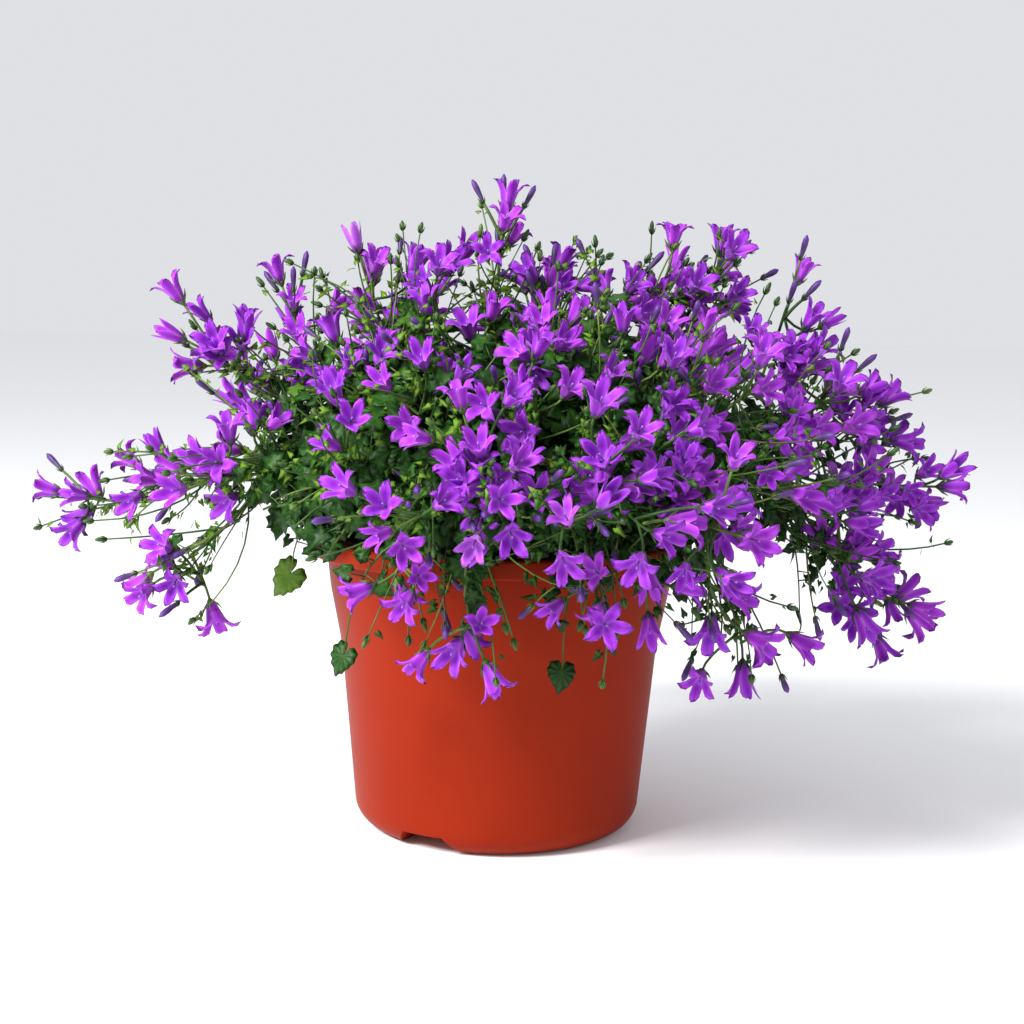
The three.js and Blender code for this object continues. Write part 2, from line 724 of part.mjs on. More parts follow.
// A bell: a slender stalk that widens into the calyx, then a cup that opens into five pointed
// lobes, with its throat sunk in.
function bellSolid(bell, place) {
  const frame = frameAlong(bell.facing, bell.spin);
  const reach = (distance) => along(bell.foot, bell.facing, distance * bell.size);
  const calyx = ringPoints(bell.foot, frame, CALYX_RADIUS * bell.size, 3);
  const tips = ringPoints(reach(BELL_LENGTH - 0.7), frame, BELL_RADIUS * bell.size, 5);
  const notches = ringPoints(reach(NOTCH_AT), frame, NOTCH_RADIUS * bell.size, 5, Math.PI / 5);
  const mouth = tips.flatMap((tip, i) => [tip, notches[i]]);
  const base = calyx.map((point) => point.clone().addScaledVector(bell.root.clone().sub(bell.foot), 0.85));
  const rings = place === 0 ? [base, calyx, mouth] : [calyx, mouth];
  return solidOf(closedBody(bell.root, rings, reach(BELL_LENGTH - THROAT_DEPTH)));
}

function budSolid(bud) {
  const swell = bud.root.clone().lerp(bud.tip, 0.68);
  const ring = ringPoints(swell, frameAlong(bud.way, 0), BUD_RADIUS, 3);
  return solidOf(closedBody(bud.root, [ring], bud.tip));
}

// A thin arched blade with a toothed edge, drawn out at its notch into its stalk.
function leafSolid(leaf) {
  const side = leaf.face.clone().cross(leaf.way);
  const edgePoint = ([degrees, share], hand) => {
    const angle = radians(degrees) * hand;
    const reach = leaf.size * share;
    const point = along(leaf.middle, leaf.way, reach * Math.cos(angle));
    return along(along(point, side, reach * Math.sin(angle)), leaf.face, -0.16 * reach);
  };
  const left = LEAF_EDGE.map((edge) => edgePoint(edge, 1));
  const right = LEAF_EDGE.slice(1).reverse().map((edge) => edgePoint(edge, -1));
  const under = along(leaf.middle, leaf.face, -LEAF_THICKNESS / 2);
  const upper = along(leaf.middle, leaf.face, LEAF_THICKNESS / 2);
  return solidOf(closedBody(under, [[...left, leaf.root, ...right]], upper));
}

// A three-sided stem through the points of its spray's line, its sides kept square to the upright
// plane that it grows in.
function stemSolid(spray) {
  const { line } = spray;
  const last = line.length - 1;
  const side = line[last].clone().sub(line[0]).cross(UP).normalize();
  const rings = line.map((point, i) => {
    const way = line[Math.min(i + 1, last)].clone().sub(line[Math.max(i - 1, 0)]).normalize();
    return ringPoints(point, { x: side, y: way.clone().cross(side) }, STEM_RADIUS, 3);
  });
  return solidOf(closedBody(line[0], rings, line[last]));
}

// The short stock that a shoot stands on, and with a margin the hole in the soil round it.
function stub(place, margin) {
  const height = STUB_TOP_Z - STUB_FOOT_Z + margin;
  const radius = STUB_RADIUS + margin;
  const geometry = new THREE.CylinderGeometry(radius, radius, height, STUB_SIDES);
  geometry.rotateX(Math.PI / 2);
  const middle = heartMiddle(place);
  geometry.translate(middle.x, middle.y, STUB_FOOT_Z - margin + height / 2);
  return solidOf(geometry);
}

// The heart, a knobbly egg.
function heartSolid(place) {
  const geometry = new THREE.SphereGeometry(1, 8, 5).rotateX(Math.PI / 2);
  const position = geometry.getAttribute('position');
  for (let i = 0; i < position.count; i += 1) {
    const [x, y, z] = [position.getX(i), position.getY(i), position.getZ(i)];
    const knob = 0.94 - 0.06 * Math.sin(5 * x + place) * Math.cos(4 * y) * Math.sin(6 * z + 1);
    position.setXYZ(i, knob * x * HEART_RADIAL, knob * y * HEART_TANGENTIAL, knob * z * HEART_VERTICAL);
  }
  geometry.rotateZ(radians(shootAzimuth(place)));
  const middle = heartMiddle(place);
  geometry.translate(middle.x, middle.y, middle.z);
  geometry.deleteAttribute('normal');
  geometry.deleteAttribute('uv');
  return solidOf(mergeVertices(geometry, 1e-3));
}

// The plan is grown in a fixed order, because each draw is tested against all that grew before it:
// stems and lone bells, the sprays' other bells and buds, the leaves over the rim, then all others.
const sprays = SPRAYS.map(planSpray);
const shoots = SHOOTS.map((_, place) => ({ place, owner: shootOwner(place), leaves: [] }));
for (const spray of sprays) {
  const steps = Math.ceil(spray.span / BALL_STEP);
  for (let i = 0; i <= steps; i += 1) {
    grow(spray.stem.getPoint(i / steps), STEM_ROOM, shootOwner(spray.place));
  }
  if (spray.lone) {
    spray.flowers.push(loneBell(spray));
    growBell(spray.flowers[0], spray.owner);
  }
}
sprays.forEach(fillSpray);
RIM_LEAVES.forEach((spec) => hangRimLeaf(spec, sprays, shoots));
shoots.forEach((shoot) => fillShoot(shoot, sprays));

const plant = new THREE.Group();
plant.name = 'potted_bellflower';
plant.add(namedMesh('pot', makePot(), MATERIALS.pot));
plant.add(namedMesh('potting_soil', makeSoil(), MATERIALS.soil));

for (const shoot of shoots) {
  const stems = sprays.filter((spray) => spray.place === shoot.place).map(stemSolid);
  const solid = fuse([heartSolid(shoot.place), stub(shoot.place, 0), ...stems,
    ...shoot.leaves.map(leafSolid)]);
  plant.add(namedMesh(shoot.owner, solid, MATERIALS.foliage));
}

for (const spray of sprays) {
  const solid = fuse([...spray.flowers.map(bellSolid), ...spray.budding.map(budSolid)]);
  plant.add(namedMesh(spray.owner, solid, MATERIALS.petals));
}

export default plant;
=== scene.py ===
"""A potted bellflower for rendering: fine bells, leaves, stems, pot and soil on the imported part."""

import math
from functools import cache

import bpy
import numpy as np
from bpy.props import FloatProperty, FloatVectorProperty, IntProperty, PointerProperty
from mathutils import Matrix, Vector


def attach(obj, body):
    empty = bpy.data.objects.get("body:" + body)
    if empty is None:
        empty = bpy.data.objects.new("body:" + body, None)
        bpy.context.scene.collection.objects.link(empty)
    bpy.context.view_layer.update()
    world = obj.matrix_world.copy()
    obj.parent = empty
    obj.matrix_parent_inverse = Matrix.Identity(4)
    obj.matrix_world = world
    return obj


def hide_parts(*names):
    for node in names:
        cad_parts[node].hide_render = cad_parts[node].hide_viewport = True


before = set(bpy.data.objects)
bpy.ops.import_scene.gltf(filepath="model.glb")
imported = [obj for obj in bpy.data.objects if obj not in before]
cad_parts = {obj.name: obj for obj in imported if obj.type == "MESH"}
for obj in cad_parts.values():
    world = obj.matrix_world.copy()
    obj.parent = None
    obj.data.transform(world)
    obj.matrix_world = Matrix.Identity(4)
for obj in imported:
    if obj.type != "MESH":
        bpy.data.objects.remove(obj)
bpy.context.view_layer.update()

bl_info = {
    "name": "Potted Bellflower",
    "version": (1, 0, 0),
    "blender": (4, 5, 0),
    "location": "View3D > Sidebar > Bellflower",
    "description": "Builds the bells, leaves, stems, pot and soil of a potted bellflower",
    "category": "Add Mesh",
}


# Colours and small vector helpers. Lengths are millimetres until a mesh is made.

MM = 0.001
UP = np.array([0.0, 0.0, 1.0])
GOLDEN_ANGLE = 2.399963


def linear(hex_colour):
    """Turns an sRGB colour such as #8A3AB4 into linear red, green and blue."""
    parts = [int(hex_colour[i : i + 2], 16) / 255 for i in (1, 3, 5)]
    return [c / 12.92 if c <= 0.04045 else ((c + 0.055) / 1.055) ** 2.4 for c in parts]


def vec(x, y, z):
    return np.array([x, y, z], dtype=float)


def size_of(v):
    return math.sqrt(v[0] * v[0] + v[1] * v[1] + v[2] * v[2])


def unit(v):
    return v * (1.0 / size_of(v))


def units(v):
    """Unit vectors along the last axis of an array."""
    return v / np.maximum(np.linalg.norm(v, axis=-1, keepdims=True), 1e-12)


def dots(a, b):
    return np.sum(a * b, axis=-1, keepdims=True)


def around(radius, angle, height):
    """Points at radii, angles and heights about the upright axis."""
    return np.stack(np.broadcast_arrays(radius * np.cos(angle), radius * np.sin(angle), height), axis=-1)


def turns(count):
    """Equal steps of the angle once round a circle."""
    return 2 * np.pi * np.arange(count) / count


# The plant's plan: the seeded rule by which the part's own stems, bells, buds and leaves are placed.

WALL = 1.6
POT_HEIGHT = 100.0
LIP_RADIUS = 65.0
LIP_HEIGHT = 6.5
LIP_BEVEL = 1.2
COLLAR_TOP_RADIUS = 58.9
COLLAR_LOW_RADIUS = 57.7
COLLAR_LOW_Z = 82.0
SHOULDER_RADIUS = 54.1
SHOULDER_Z = 64.0
BASE_RADIUS = 48.9
CORNER_ROUNDING = 8.8
FOOT_INNER_RADIUS = 35.0
FLOOR_RADIUS = 33.0
FLOOR_Z = 5.0
CHANNEL_AZIMUTH = -120.0
CHANNEL_HEIGHT = 6.0
CHANNEL_LOW_HALF_WIDTH = 12.0
CHANNEL_TOP_HALF_WIDTH = 7.5
DRAIN_HOLE_RADIUS = 4.0
DRAIN_RING_RADIUS = 24.0
DRAIN_SPREAD = 35.0
GAP = 0.35
SOIL_TOP_Z = 88.0
SOIL_RELIEF = 1.1
HEART_RING_RADIUS = 40.0
HEART_Z = 122.0
HEART_AXES = (24.0, 17.0, 29.0)
LONG_STEM = 75.0
BELL_REACH = 8.5
BELL_BALL_AT = 8.6
BELL_SPACING = 14.0
CUP_ROOM = 6.8
LEAST_STALK = 5.0
STRAIGHTNESS = 0.55
SPRAY_STALK = 15.0
BELL_TRIES = 200
SPRAY_SEED = 7301
SHOOT_PLAN_SEED = 300

# Radii of the balls that keep stems, stalks, buds and leaves apart; a leaf's is a share of its size.
STEM_BALL = 2.2
STALK_BALL = 1.5
BUD_BALL = 2.0
BUD_ROOM = 2.2
LEAF_BALL = 1.06
LEAF_STALK_BALL = 1.2

HEART_LEAVES = (5, 9, 9, 6, 8, 5)
STEM_LEAF_EVERY = 58.0
SHOOTS = ("right", "back_right", "back_left", "left", "front_left", "front_right")
SECTOR = 60

# Middle of each spray, its bells and buds, and the offset of a bell that stands further out.
SPRAYS = (
    ((-140, -10, 110), 4, 1, (-16, 0, 4)),
    ((-118, -20, 121), 4, 0, None),
    ((-112, -35, 88), 5, 1, (21, 0, -16)),
    ((-98, -45, 127), 5, 0, None),
    ((-84, -35, 138), 4, 0, None),
    ((-52, -80, 139), 3, 0, None),
    ((-96, 5, 166), 7, 1, (-15, 0, -12)),
    ((-75, 15, 172), 4, 3, (-5, 0, 19)),
    ((-50, -36, 161), 7, 0, None),
    ((-48, 15, 184), 3, 1, (-5, 0, 18)),
    ((-26, 10, 187), 4, 0, None),
    ((-27, -56, 158), 4, 0, (-2, -22, -16)),
    ((-3, 5, 198), 3, 3, (4, 0, 19)),
    ((16, 5, 189), 6, 1, None),
    ((-12, -30, 172), 3, 0, None),
    ((13, -36, 175), 4, 0, None),
    ((7, -72, 154), 6, 0, None),
    ((32, -55, 161), 4, 0, None),
    ((-7, -104, 140), 6, 0, None),
    ((-2, -112, 124), 4, 0, None),
    ((18, -118, 120), 3, 0, None),
    ((-29, -108, 119), 4, 0, (15, -4, 6)),
    ((29, -100, 138), 5, 0, None),
    ((41, -108, 124), 4, 0, None),
    ((-27, -88, 92), 3, 0, (-18, 2, 0)),
    ((-11, -87, 78), 4, 0, (11, 0, -13)),
    ((28, -87, 85), 3, 0, None),
    ((37, 5, 185), 5, 1, None),
    ((54, 5, 189), 4, 0, None),
    ((72, 10, 191), 8, 2, None),
    ((54, -56, 159), 8, 0, None),
    ((47, -90, 143), 3, 0, None),
    ((74, -60, 157), 4, 0, None),
    ((95, -5, 166), 5, 3, (5, 0, 28)),
    ((113, -10, 154), 6, 2, None),
    ((130, 5, 140), 5, 1, None),
    ((88, -66, 132), 5, 0, None),
    ((61, -99, 120), 9, 0, None),
    ((140, 0, 122), 5, 0, (18, 0, -4)),
    ((108, -46, 118), 3, 0, None),
    ((120, -30, 98), 7, 0, None),
    ((134, -15, 75), 5, 0, None),
    ((45, -89, 98), 4, 0, None),
    ((66, -82, 92), 4, 0, None),
    ((77, -66, 72), 3, 0, (-2, 0, -11)),
    ((-88, 50, 148), 7, 0, None),
    ((-40, 58, 172), 7, 0, None),
    ((16, 52, 178), 7, 0, None),
    ((70, 58, 164), 7, 0, None),
    ((-58, 92, 122), 7, 0, None),
    ((6, 115, 124), 8, 0, None),
    ((68, 92, 118), 7, 0, None),
)

# Large leaves over the rim: the number of a spray, the share along its stem, the middle, the half width.
RIM_LEAVES = (
    (2, 0.35, (-74, -12, 84), 8.5),
    (24, 0.86, (-47, -76, 72), 6.0),
    (25, 0.8, (-10, -77, 101), 7.5),
    (26, 0.85, (19, -76, 68), 5.5),
    (40, 0.75, (100, -20, 76), 5.5),
)


def seeded_draws(seed):
    state = [seed]

    def draw():
        state[0] = (state[0] * 1664525 + 1013904223) % 2**32
        return state[0] / 4294967296

    return draw


def draw_direction(draw):
    azimuth = 2 * math.pi * draw()
    height = 2 * draw() - 1
    level = math.sqrt(1 - height * height)
    return vec(level * math.cos(azimuth), level * math.sin(azimuth), height)


def heart_middle(place):
    angle = math.radians(place * SECTOR)
    return vec(HEART_RING_RADIUS * math.cos(angle), HEART_RING_RADIUS * math.sin(angle), HEART_Z)


def heart_depth(point, place, margin):
    """How far out a point lies in a shoot's heart, an egg grown by a margin; 1 is on its skin."""
    angle = math.radians(place * SECTOR)
    x, y, z = point - heart_middle(place)
    a = (x * math.cos(angle) + y * math.sin(angle)) / (HEART_AXES[0] + margin)
    b = (y * math.cos(angle) - x * math.sin(angle)) / (HEART_AXES[1] + margin)
    c = z / (HEART_AXES[2] + margin)
    return math.sqrt(a * a + b * b + c * c)


def heart_skin(place, direction, share):
    middle = heart_middle(place)
    return middle + direction * (share / heart_depth(middle + direction, place, 0))


def points_between(start, end):
    count = max(1, math.ceil(size_of(end - start) / 3))
    return [start + (end - start) * (i / count) for i in range(count + 1)]


def spray_direction(at):
    """Out and up at the top of the mound, out and down where a spray hangs over the rim."""
    level = vec(at[0], at[1], 0)
    out = size_of(level)
    room = min(max((out - LIP_RADIUS) / 60, 0.35), 1)
    lift = min(max((at[2] - 115) / (60 * room), -1), 1)
    level *= 1 / max(out, 90)
    lean = 1 - 0.35 * lift if lift > 0 else 1 + 0.6 * lift
    climb = 0.15 + 0.75 * lift if lift > 0 else 0.15 + 1.05 * lift
    return unit(level * lean + UP * climb)


def bezier(points, t):
    """Points of a cubic curve for a share or an array of shares."""
    t = np.asarray(t, dtype=float)[..., None]
    k = 1 - t
    return (
        k * k * k * points[0]
        + 3 * k * k * t * points[1]
        + 3 * k * t * t * points[2]
        + t * t * t * points[3]
    )


def sector_of(at):
    """The number of the shoot whose sixth of the circle a point stands in."""
    azimuth = math.atan2(at[1], at[0]) * 180 / math.pi + SECTOR / 2
    return int((azimuth + 360) % 360 // SECTOR)


class Spray:
    """One flower spray: its stem, a cubic curve out of a shoot's heart, and the flowers on its end."""

    def __init__(self, number, spec):
        self.number = number
        self.at, self.bell_count, self.bud_count = vec(*spec[0]), spec[1], spec[2]
        self.lone = None if spec[3] is None else vec(*spec[3])
        self.place = sector_of(self.at)
        self.direction = spray_direction(self.at)
        end = self.at - self.direction * SPRAY_STALK
        aim = end - heart_middle(self.place)
        aim[2] = max(aim[2], 0.35 * math.sqrt(aim[0] * aim[0] + aim[1] * aim[1]))
        aim = unit(aim)
        start = heart_skin(self.place, aim, 0.7)
        self.span = size_of(end - start)
        bends = (start + aim * (0.4 * self.span), end - self.direction * (0.35 * self.span))
        self.curve = (start, *bends, end)
        steps = 4 if self.span > LONG_STEM else 3
        self.line = [bezier(self.curve, i / steps) for i in range(steps + 1)]
        self.foot = end + self.direction * GAP
        self.flowers = []
        self.buds = []

    def on_stem(self, share):
        reach = share * (len(self.line) - 1)
        step = min(int(reach), len(self.line) - 2)
        return self.line[step] + (self.line[step + 1] - self.line[step]) * (reach - step)


def others_of(grown, owner):
    """The balls of every other owner, as middles and radii."""
    balls = np.array([ball[:4] for ball in grown if ball[4] != owner])
    return balls[:, :3], balls[:, 3]


def is_clear(others, point, radius):
    apart = others[0] - point
    reach = others[1] + radius
    return bool(np.all(np.einsum("ij,ij->i", apart, apart) >= reach * reach))


def misses_pot(point, radius):
    out = math.sqrt(point[0] * point[0] + point[1] * point[1])
    inside = out + radius < COLLAR_LOW_RADIUS - 3 and point[2] - radius > SOIL_TOP_Z + 2
    return point[2] - radius > POT_HEIGHT + 0.6 or out - radius > LIP_RADIUS + 0.6 or inside


def misses_hearts(point, radius, own):
    return all(k == own or heart_depth(point, k, radius) > 1 for k in range(len(SHOOTS)))


def light_from(at):
    return vec(0, 0.35 if at[1] > 40 else -0.4, 0.2)


def bell_at(middle, facing, spin, size, spray, seat):
    foot = middle - facing * (BELL_BALL_AT * size)
    root = spray.foot
    if spray.flowers:
        lead = spray.flowers[0]
        root = lead["root"] + (lead["foot"] - lead["root"]) * seat
    return {"middle": middle, "facing": facing, "spin": spin, "size": size, "foot": foot, "root": root}


def draw_bell(spray, draw, spread):
    offset = draw_direction(draw)
    share = 0.45 + 0.55 * draw()
    jitter = draw_direction(draw) * 0.35
    size = 0.9 + 0.16 * draw()
    spin = 2 * math.pi * draw()
    seat = 0.25 + 0.45 * draw()
    if offset @ spray.direction < -0.3:
        offset = -offset
    middle = spray.at - 2 * spray.direction + offset * (spread * share)
    facing = unit(spray.direction * 0.45 + offset * 0.85 + light_from(spray.at) + jitter)
    return bell_at(middle, facing, spin, size, spray, seat)


def are_apart(bell, other):
    def clears(points, middle):
        return all(size_of(point - middle) >= CUP_ROOM for point in points)

    return (
        size_of(other["middle"] - bell["middle"]) >= BELL_SPACING
        and clears(points_between(bell["root"], bell["foot"]), other["middle"])
        and clears(points_between(other["root"], other["foot"]), bell["middle"])
    )


def bell_fits(bell, spray, others):
    reach = BELL_REACH * bell["size"]
    stalk = bell["foot"] - bell["root"]
    stalk_points = points_between(bell["root"], bell["foot"])[0 if spray.flowers else 2 :]
    return (
        size_of(stalk) >= LEAST_STALK
        and stalk @ bell["facing"] >= STRAIGHTNESS * size_of(stalk)
        and is_clear(others, bell["middle"], reach)
        and misses_pot(bell["middle"], reach)
        and misses_hearts(bell["middle"], reach, -1)
        and all(are_apart(bell, other) for other in spray.flowers)
        and all(is_clear(others, point, STALK_BALL) for point in stalk_points)
    )


def keep_bell(bell, spray, grown):
    spray.flowers.append(bell)
    grown.append((*bell["middle"], BELL_REACH * bell["size"], spray.number))
    grown.extend((*p, STALK_BALL, spray.number) for p in points_between(bell["root"], bell["foot"]))


def fill_spray(spray, grown):
    draw = seeded_draws(SPRAY_SEED + 13 * spray.number)
    others = others_of(grown, spray.number)
    for _ in range(spray.bell_count):
        for attempt in range(BELL_TRIES):
            late = attempt / BELL_TRIES
            wide = 7.5 + 2.3 * math.sqrt(spray.bell_count) + 15 * late
            bell = draw_bell(spray, draw, wide if spray.flowers else (0.35 + 0.65 * late) * wide)
            if bell_fits(bell, spray, others):
                keep_bell(bell, spray, grown)
                break
    for _ in range(spray.bud_count):
        for _ in range(20):
            way = unit(draw_direction(draw) * 0.75 + spray.direction + UP * 0.5)
            length = 17 + 12 * draw()
            lead = spray.flowers[0]
            root = lead["root"] + (lead["foot"] - lead["root"]) * (0.3 + 0.4 * draw())
            points = points_between(root, root + way * length)
            if all(is_clear(others, point, BUD_ROOM) for point in points):
                grown.extend((*point, BUD_BALL, spray.number) for point in points)
                spray.buds.append((root, root + way * length))
                break


def leaf_at(root, middle, face, size):
    stalk = middle - root
    way = unit(stalk - face * (stalk @ face))
    return {"root": root, "middle": middle, "face": face, "size": size, "way": way}


def leaf_fits(leaf, leaves, place, others):
    reach = leaf["size"] * LEAF_BALL
    return (
        is_clear(others, leaf["middle"], reach)
        and misses_pot(leaf["middle"], reach)
        and misses_hearts(leaf["middle"], reach, place)
        and all(size_of(o["middle"] - leaf["middle"]) >= 0.72 * (o["size"] + leaf["size"]) for o in leaves)
        and all(
            is_clear(others, point, LEAF_STALK_BALL) and misses_pot(point, 1)
            for point in points_between(leaf["root"], leaf["middle"])
        )
    )


def keep_leaf(leaf, leaves, owner, grown):
    leaves.append(leaf)
    grown.append((*leaf["middle"], leaf["size"] * LEAF_BALL, owner))
    grown.extend((*p, LEAF_STALK_BALL, owner) for p in points_between(leaf["root"], leaf["middle"]))


def draw_heart_leaf(place, draw):
    out = draw_direction(draw)
    size = 6 + 2.6 * draw()
    rise = size * 0.4 + 3 + 7 * draw()
    jitter = draw_direction(draw) * 0.5
    face = unit(out + UP * 0.45 + jitter)
    drift = draw_direction(draw)
    drift = unit(drift - out * (drift @ out))
    middle = heart_skin(place, out, 1) + out * rise + drift * (size * 0.7)
    return leaf_at(heart_skin(place, out, 0.7), middle, face, size)


def draw_stem_leaf(spray, draw):
    at = 0.12 + 0.8 * draw()
    out = draw_direction(draw)
    size = 5.2 + 2.4 * draw()
    jitter = draw_direction(draw) * 0.4
    root = spray.on_stem(at)
    tangent = unit(bezier(spray.curve, at + 0.0001) - bezier(spray.curve, at - 0.0001))
    out = unit(out + tangent * (0.35 - out @ tangent))
    middle = root + out * (size * 0.9 + 2.5 + 5 * draw())
    face = unit(unit(middle - vec(0, 0, HEART_Z - 30)) + UP * 0.5 + jitter)
    return leaf_at(root, middle, face, size)


def fill_shoot(place, sprays, leaves, owner, grown):
    draw = seeded_draws(SHOOT_PLAN_SEED + 17 * place)
    others = others_of(grown, owner)
    for _ in range(HEART_LEAVES[place]):
        for _ in range(40):
            leaf = draw_heart_leaf(place, draw)
            if leaf_fits(leaf, leaves, place, others):
                keep_leaf(leaf, leaves, owner, grown)
                break
    for spray in sprays:
        if spray.place != place:
            continue
        for _ in range(max(1, math.floor(spray.span / STEM_LEAF_EVERY + 0.5))):
            for _ in range(30):
                leaf = draw_stem_leaf(spray, draw)
                if leaf_fits(leaf, leaves, place, others):
                    keep_leaf(leaf, leaves, owner, grown)
                    break


@cache
def plan_plant():
    """Grows the whole plan in the part's own order and returns the sprays and each shoot's leaves."""
    sprays = [Spray(number, spec) for number, spec in enumerate(SPRAYS)]
    shoot_owner = [len(SPRAYS) + place for place in range(len(SHOOTS))]
    leaves = [[] for _ in SHOOTS]
    grown = []
    for spray in sprays:
        steps = math.ceil(spray.span / 3)
        for i in range(steps + 1):
            grown.append((*bezier(spray.curve, i / steps), STEM_BALL, shoot_owner[spray.place]))
        if spray.lone is not None:
            facing = unit(unit(spray.lone) + light_from(spray.at) * 0.5 + spray.direction * 0.6)
            keep_bell(bell_at(spray.at + spray.lone, facing, 0.4, 1, spray, 0), spray, grown)
    for spray in sprays:
        fill_spray(spray, grown)
    for number, share, at, size in RIM_LEAVES:
        spray = sprays[number]
        face = unit(unit(vec(at[0], at[1], 0)) + UP * 0.35)
        leaf = leaf_at(spray.on_stem(share), vec(*at), face, size)
        keep_leaf(leaf, leaves[spray.place], shoot_owner[spray.place], grown)
    for place in range(len(SHOOTS)):
        fill_shoot(place, sprays, leaves[place], shoot_owner[place], grown)
    return sprays, leaves


def sprays_of(place):
    return [spray for spray in plan_plant()[0] if spray.place == place]


def bell_middles():
    return np.array([bell["middle"] for spray in plan_plant()[0] for bell in spray.flowers])


# Meshes from whole arrays


def ring_faces(rows, columns):
    """Faces of a grid that closes round, fanned to two poles that stand after the grid's points."""
    here = np.arange(rows)[:, None] * columns + np.arange(columns)
    beside = np.roll(here, -1, axis=1)
    quads = np.stack([here[:-1], beside[:-1], beside[1:], here[1:]], axis=-1).reshape(-1, 4)
    first = np.full(columns, rows * columns)
    fans = [
        np.stack([first, beside[0], here[0]], axis=-1),
        np.stack([here[-1], beside[-1], first + 1], axis=-1),
    ]
    return [quads, np.concatenate(fans)]


def repeat_faces(faces, count, stride):
    """The same faces for each of a number of copies whose points follow one another."""
    shift = (np.arange(count) * stride)[:, None, None]
    return [(part[None] + shift).reshape(-1, part.shape[1]) for part in faces]


def join(*shapes):
    """One set of points, faces and marks from several; a mark is three numbers kept on each point."""
    points, faces, marks, start = [], [], [], 0
    for shape in shapes:
        points.append(shape[0])
        marks.append(shape[2])
        faces.extend(part + start for part in shape[1])
        start += len(shape[0])
    return np.concatenate(points), faces, np.concatenate(marks)


def make_piece(name, shape, material, nodes):
    """Puts a shape into one finished piece that rides on the part and stands for its nodes."""
    points, faces, marks = shape
    mesh = bpy.data.meshes.new(name)
    corners = np.concatenate([part.ravel() for part in faces]).astype(np.int32)
    totals = np.concatenate([np.full(len(part), part.shape[1]) for part in faces])
    mesh.vertices.add(len(points))
    mesh.vertices.foreach_set("co", (points * MM).astype(np.float32).ravel())
    mesh.loops.add(len(corners))
    mesh.loops.foreach_set("vertex_index", corners)
    mesh.polygons.add(len(totals))
    mesh.polygons.foreach_set("loop_start", (np.cumsum(totals) - totals).astype(np.int32))
    mesh.update(calc_edges=True)
    marked = mesh.attributes.new("mark", "FLOAT_VECTOR", "POINT")
    marked.data.foreach_set("vector", marks.astype(np.float32).ravel())
    mesh.polygons.foreach_set("use_smooth", np.ones(len(totals), dtype=bool))
    mesh.materials.append(material)
    piece = bpy.data.objects.new(name, mesh)
    bpy.context.collection.objects.link(piece)
    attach(piece, "root")
    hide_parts(*nodes)
    return piece


def frames_along(direction, spin):
    """Two axes across each direction, turned about it by a spin."""
    steep = np.abs(direction[:, 2:3]) >= 0.9
    reference = np.where(steep, vec(1, 0, 0), UP)
    side = units(np.cross(reference, direction))
    other = np.cross(direction, side)
    x = side * np.cos(spin)[:, None] + other * np.sin(spin)[:, None]
    return x, np.cross(direction, x)


def closed_grids(rings, poles, marks, pole_marks, shade):
    """Copies of a ringed surface with a pole at each end, as points, faces and marks.

    The first two numbers of a mark are given across and along the rings, the third once a copy.
    """
    count, rows, columns = rings.shape[:3]
    points = np.concatenate([rings.reshape(count, -1, 3), poles], axis=1)
    table = np.empty(points.shape)
    table[:, :-2, :2] = np.stack(np.broadcast_arrays(*marks), axis=-1).reshape(-1, 2)
    table[:, -2:, :2] = pole_marks
    table[:, :, 2] = np.asarray(shade)[:, None]
    faces = repeat_faces(ring_faces(rows, columns), count, points.shape[1])
    return points.reshape(-1, 3), faces, table.reshape(-1, 3)


def placed(local, axes, at):
    """Each copy's local points turned onto its three axes and moved to its place."""
    return np.einsum("nrci,nij->nrcj", local, np.stack(axes, axis=1)) + at[:, None, None]


def tubes(paths, radii, sides, shade):
    """Round tubes along paths, with a radius for each ring or only for the first and the last.

    Each ring of a tube is a circle about its path's point, square to the path there, with its first
    axis kept across the upright plane of the path's two ends. A mark is (share round, share along,
    shade).
    """
    count, steps = paths.shape[:2]
    radii = np.linspace(*radii, steps) if len(radii) == 2 else radii
    across = np.cross(paths[:, -1] - paths[:, 0], UP)
    upright = np.linalg.norm(across, axis=1, keepdims=True) < 1e-6
    across = units(np.where(upright, vec(1, 0, 0), across))[:, None]
    tangent = units(np.gradient(paths, axis=1))
    side = units(across - tangent * dots(across, tangent))
    other = np.cross(tangent, side)
    angle = turns(sides)[:, None]
    round_about = side[:, :, None] * np.cos(angle) + other[:, :, None] * np.sin(angle)
    rings = paths[:, :, None] + round_about * np.broadcast_to(radii, (count, steps))[:, :, None, None]
    marks = (np.arange(sides) / sides, np.linspace(0, 1, steps)[:, None])
    return closed_grids(rings, paths[:, [0, -1]], marks, [[0, 0], [0, 1]], shade)


def bends(start, end, pull, steps):
    """Paths that leave each start along a pull and come to each end, by a quadratic curve."""
    t = np.linspace(0, 1, steps)[None, :, None]
    start, end, pull = start[:, None], end[:, None], (start + pull)[:, None]
    return (1 - t) ** 2 * start + 2 * t * (1 - t) * pull + t * t * end


# Shapes of the growth

# A bell's grid: places across a lobe, shares of the way along the profile, and how many are outside.
LOBES = 5
LOBE_COLUMNS = np.array([-1.0, -0.72, -0.38, 0.0, 0.38, 0.72])
BELL_ROWS = np.array([0.07, 0.3, 0.5, 0.76, 1.0, 0.76, 0.5])
BELL_OUTER = 5

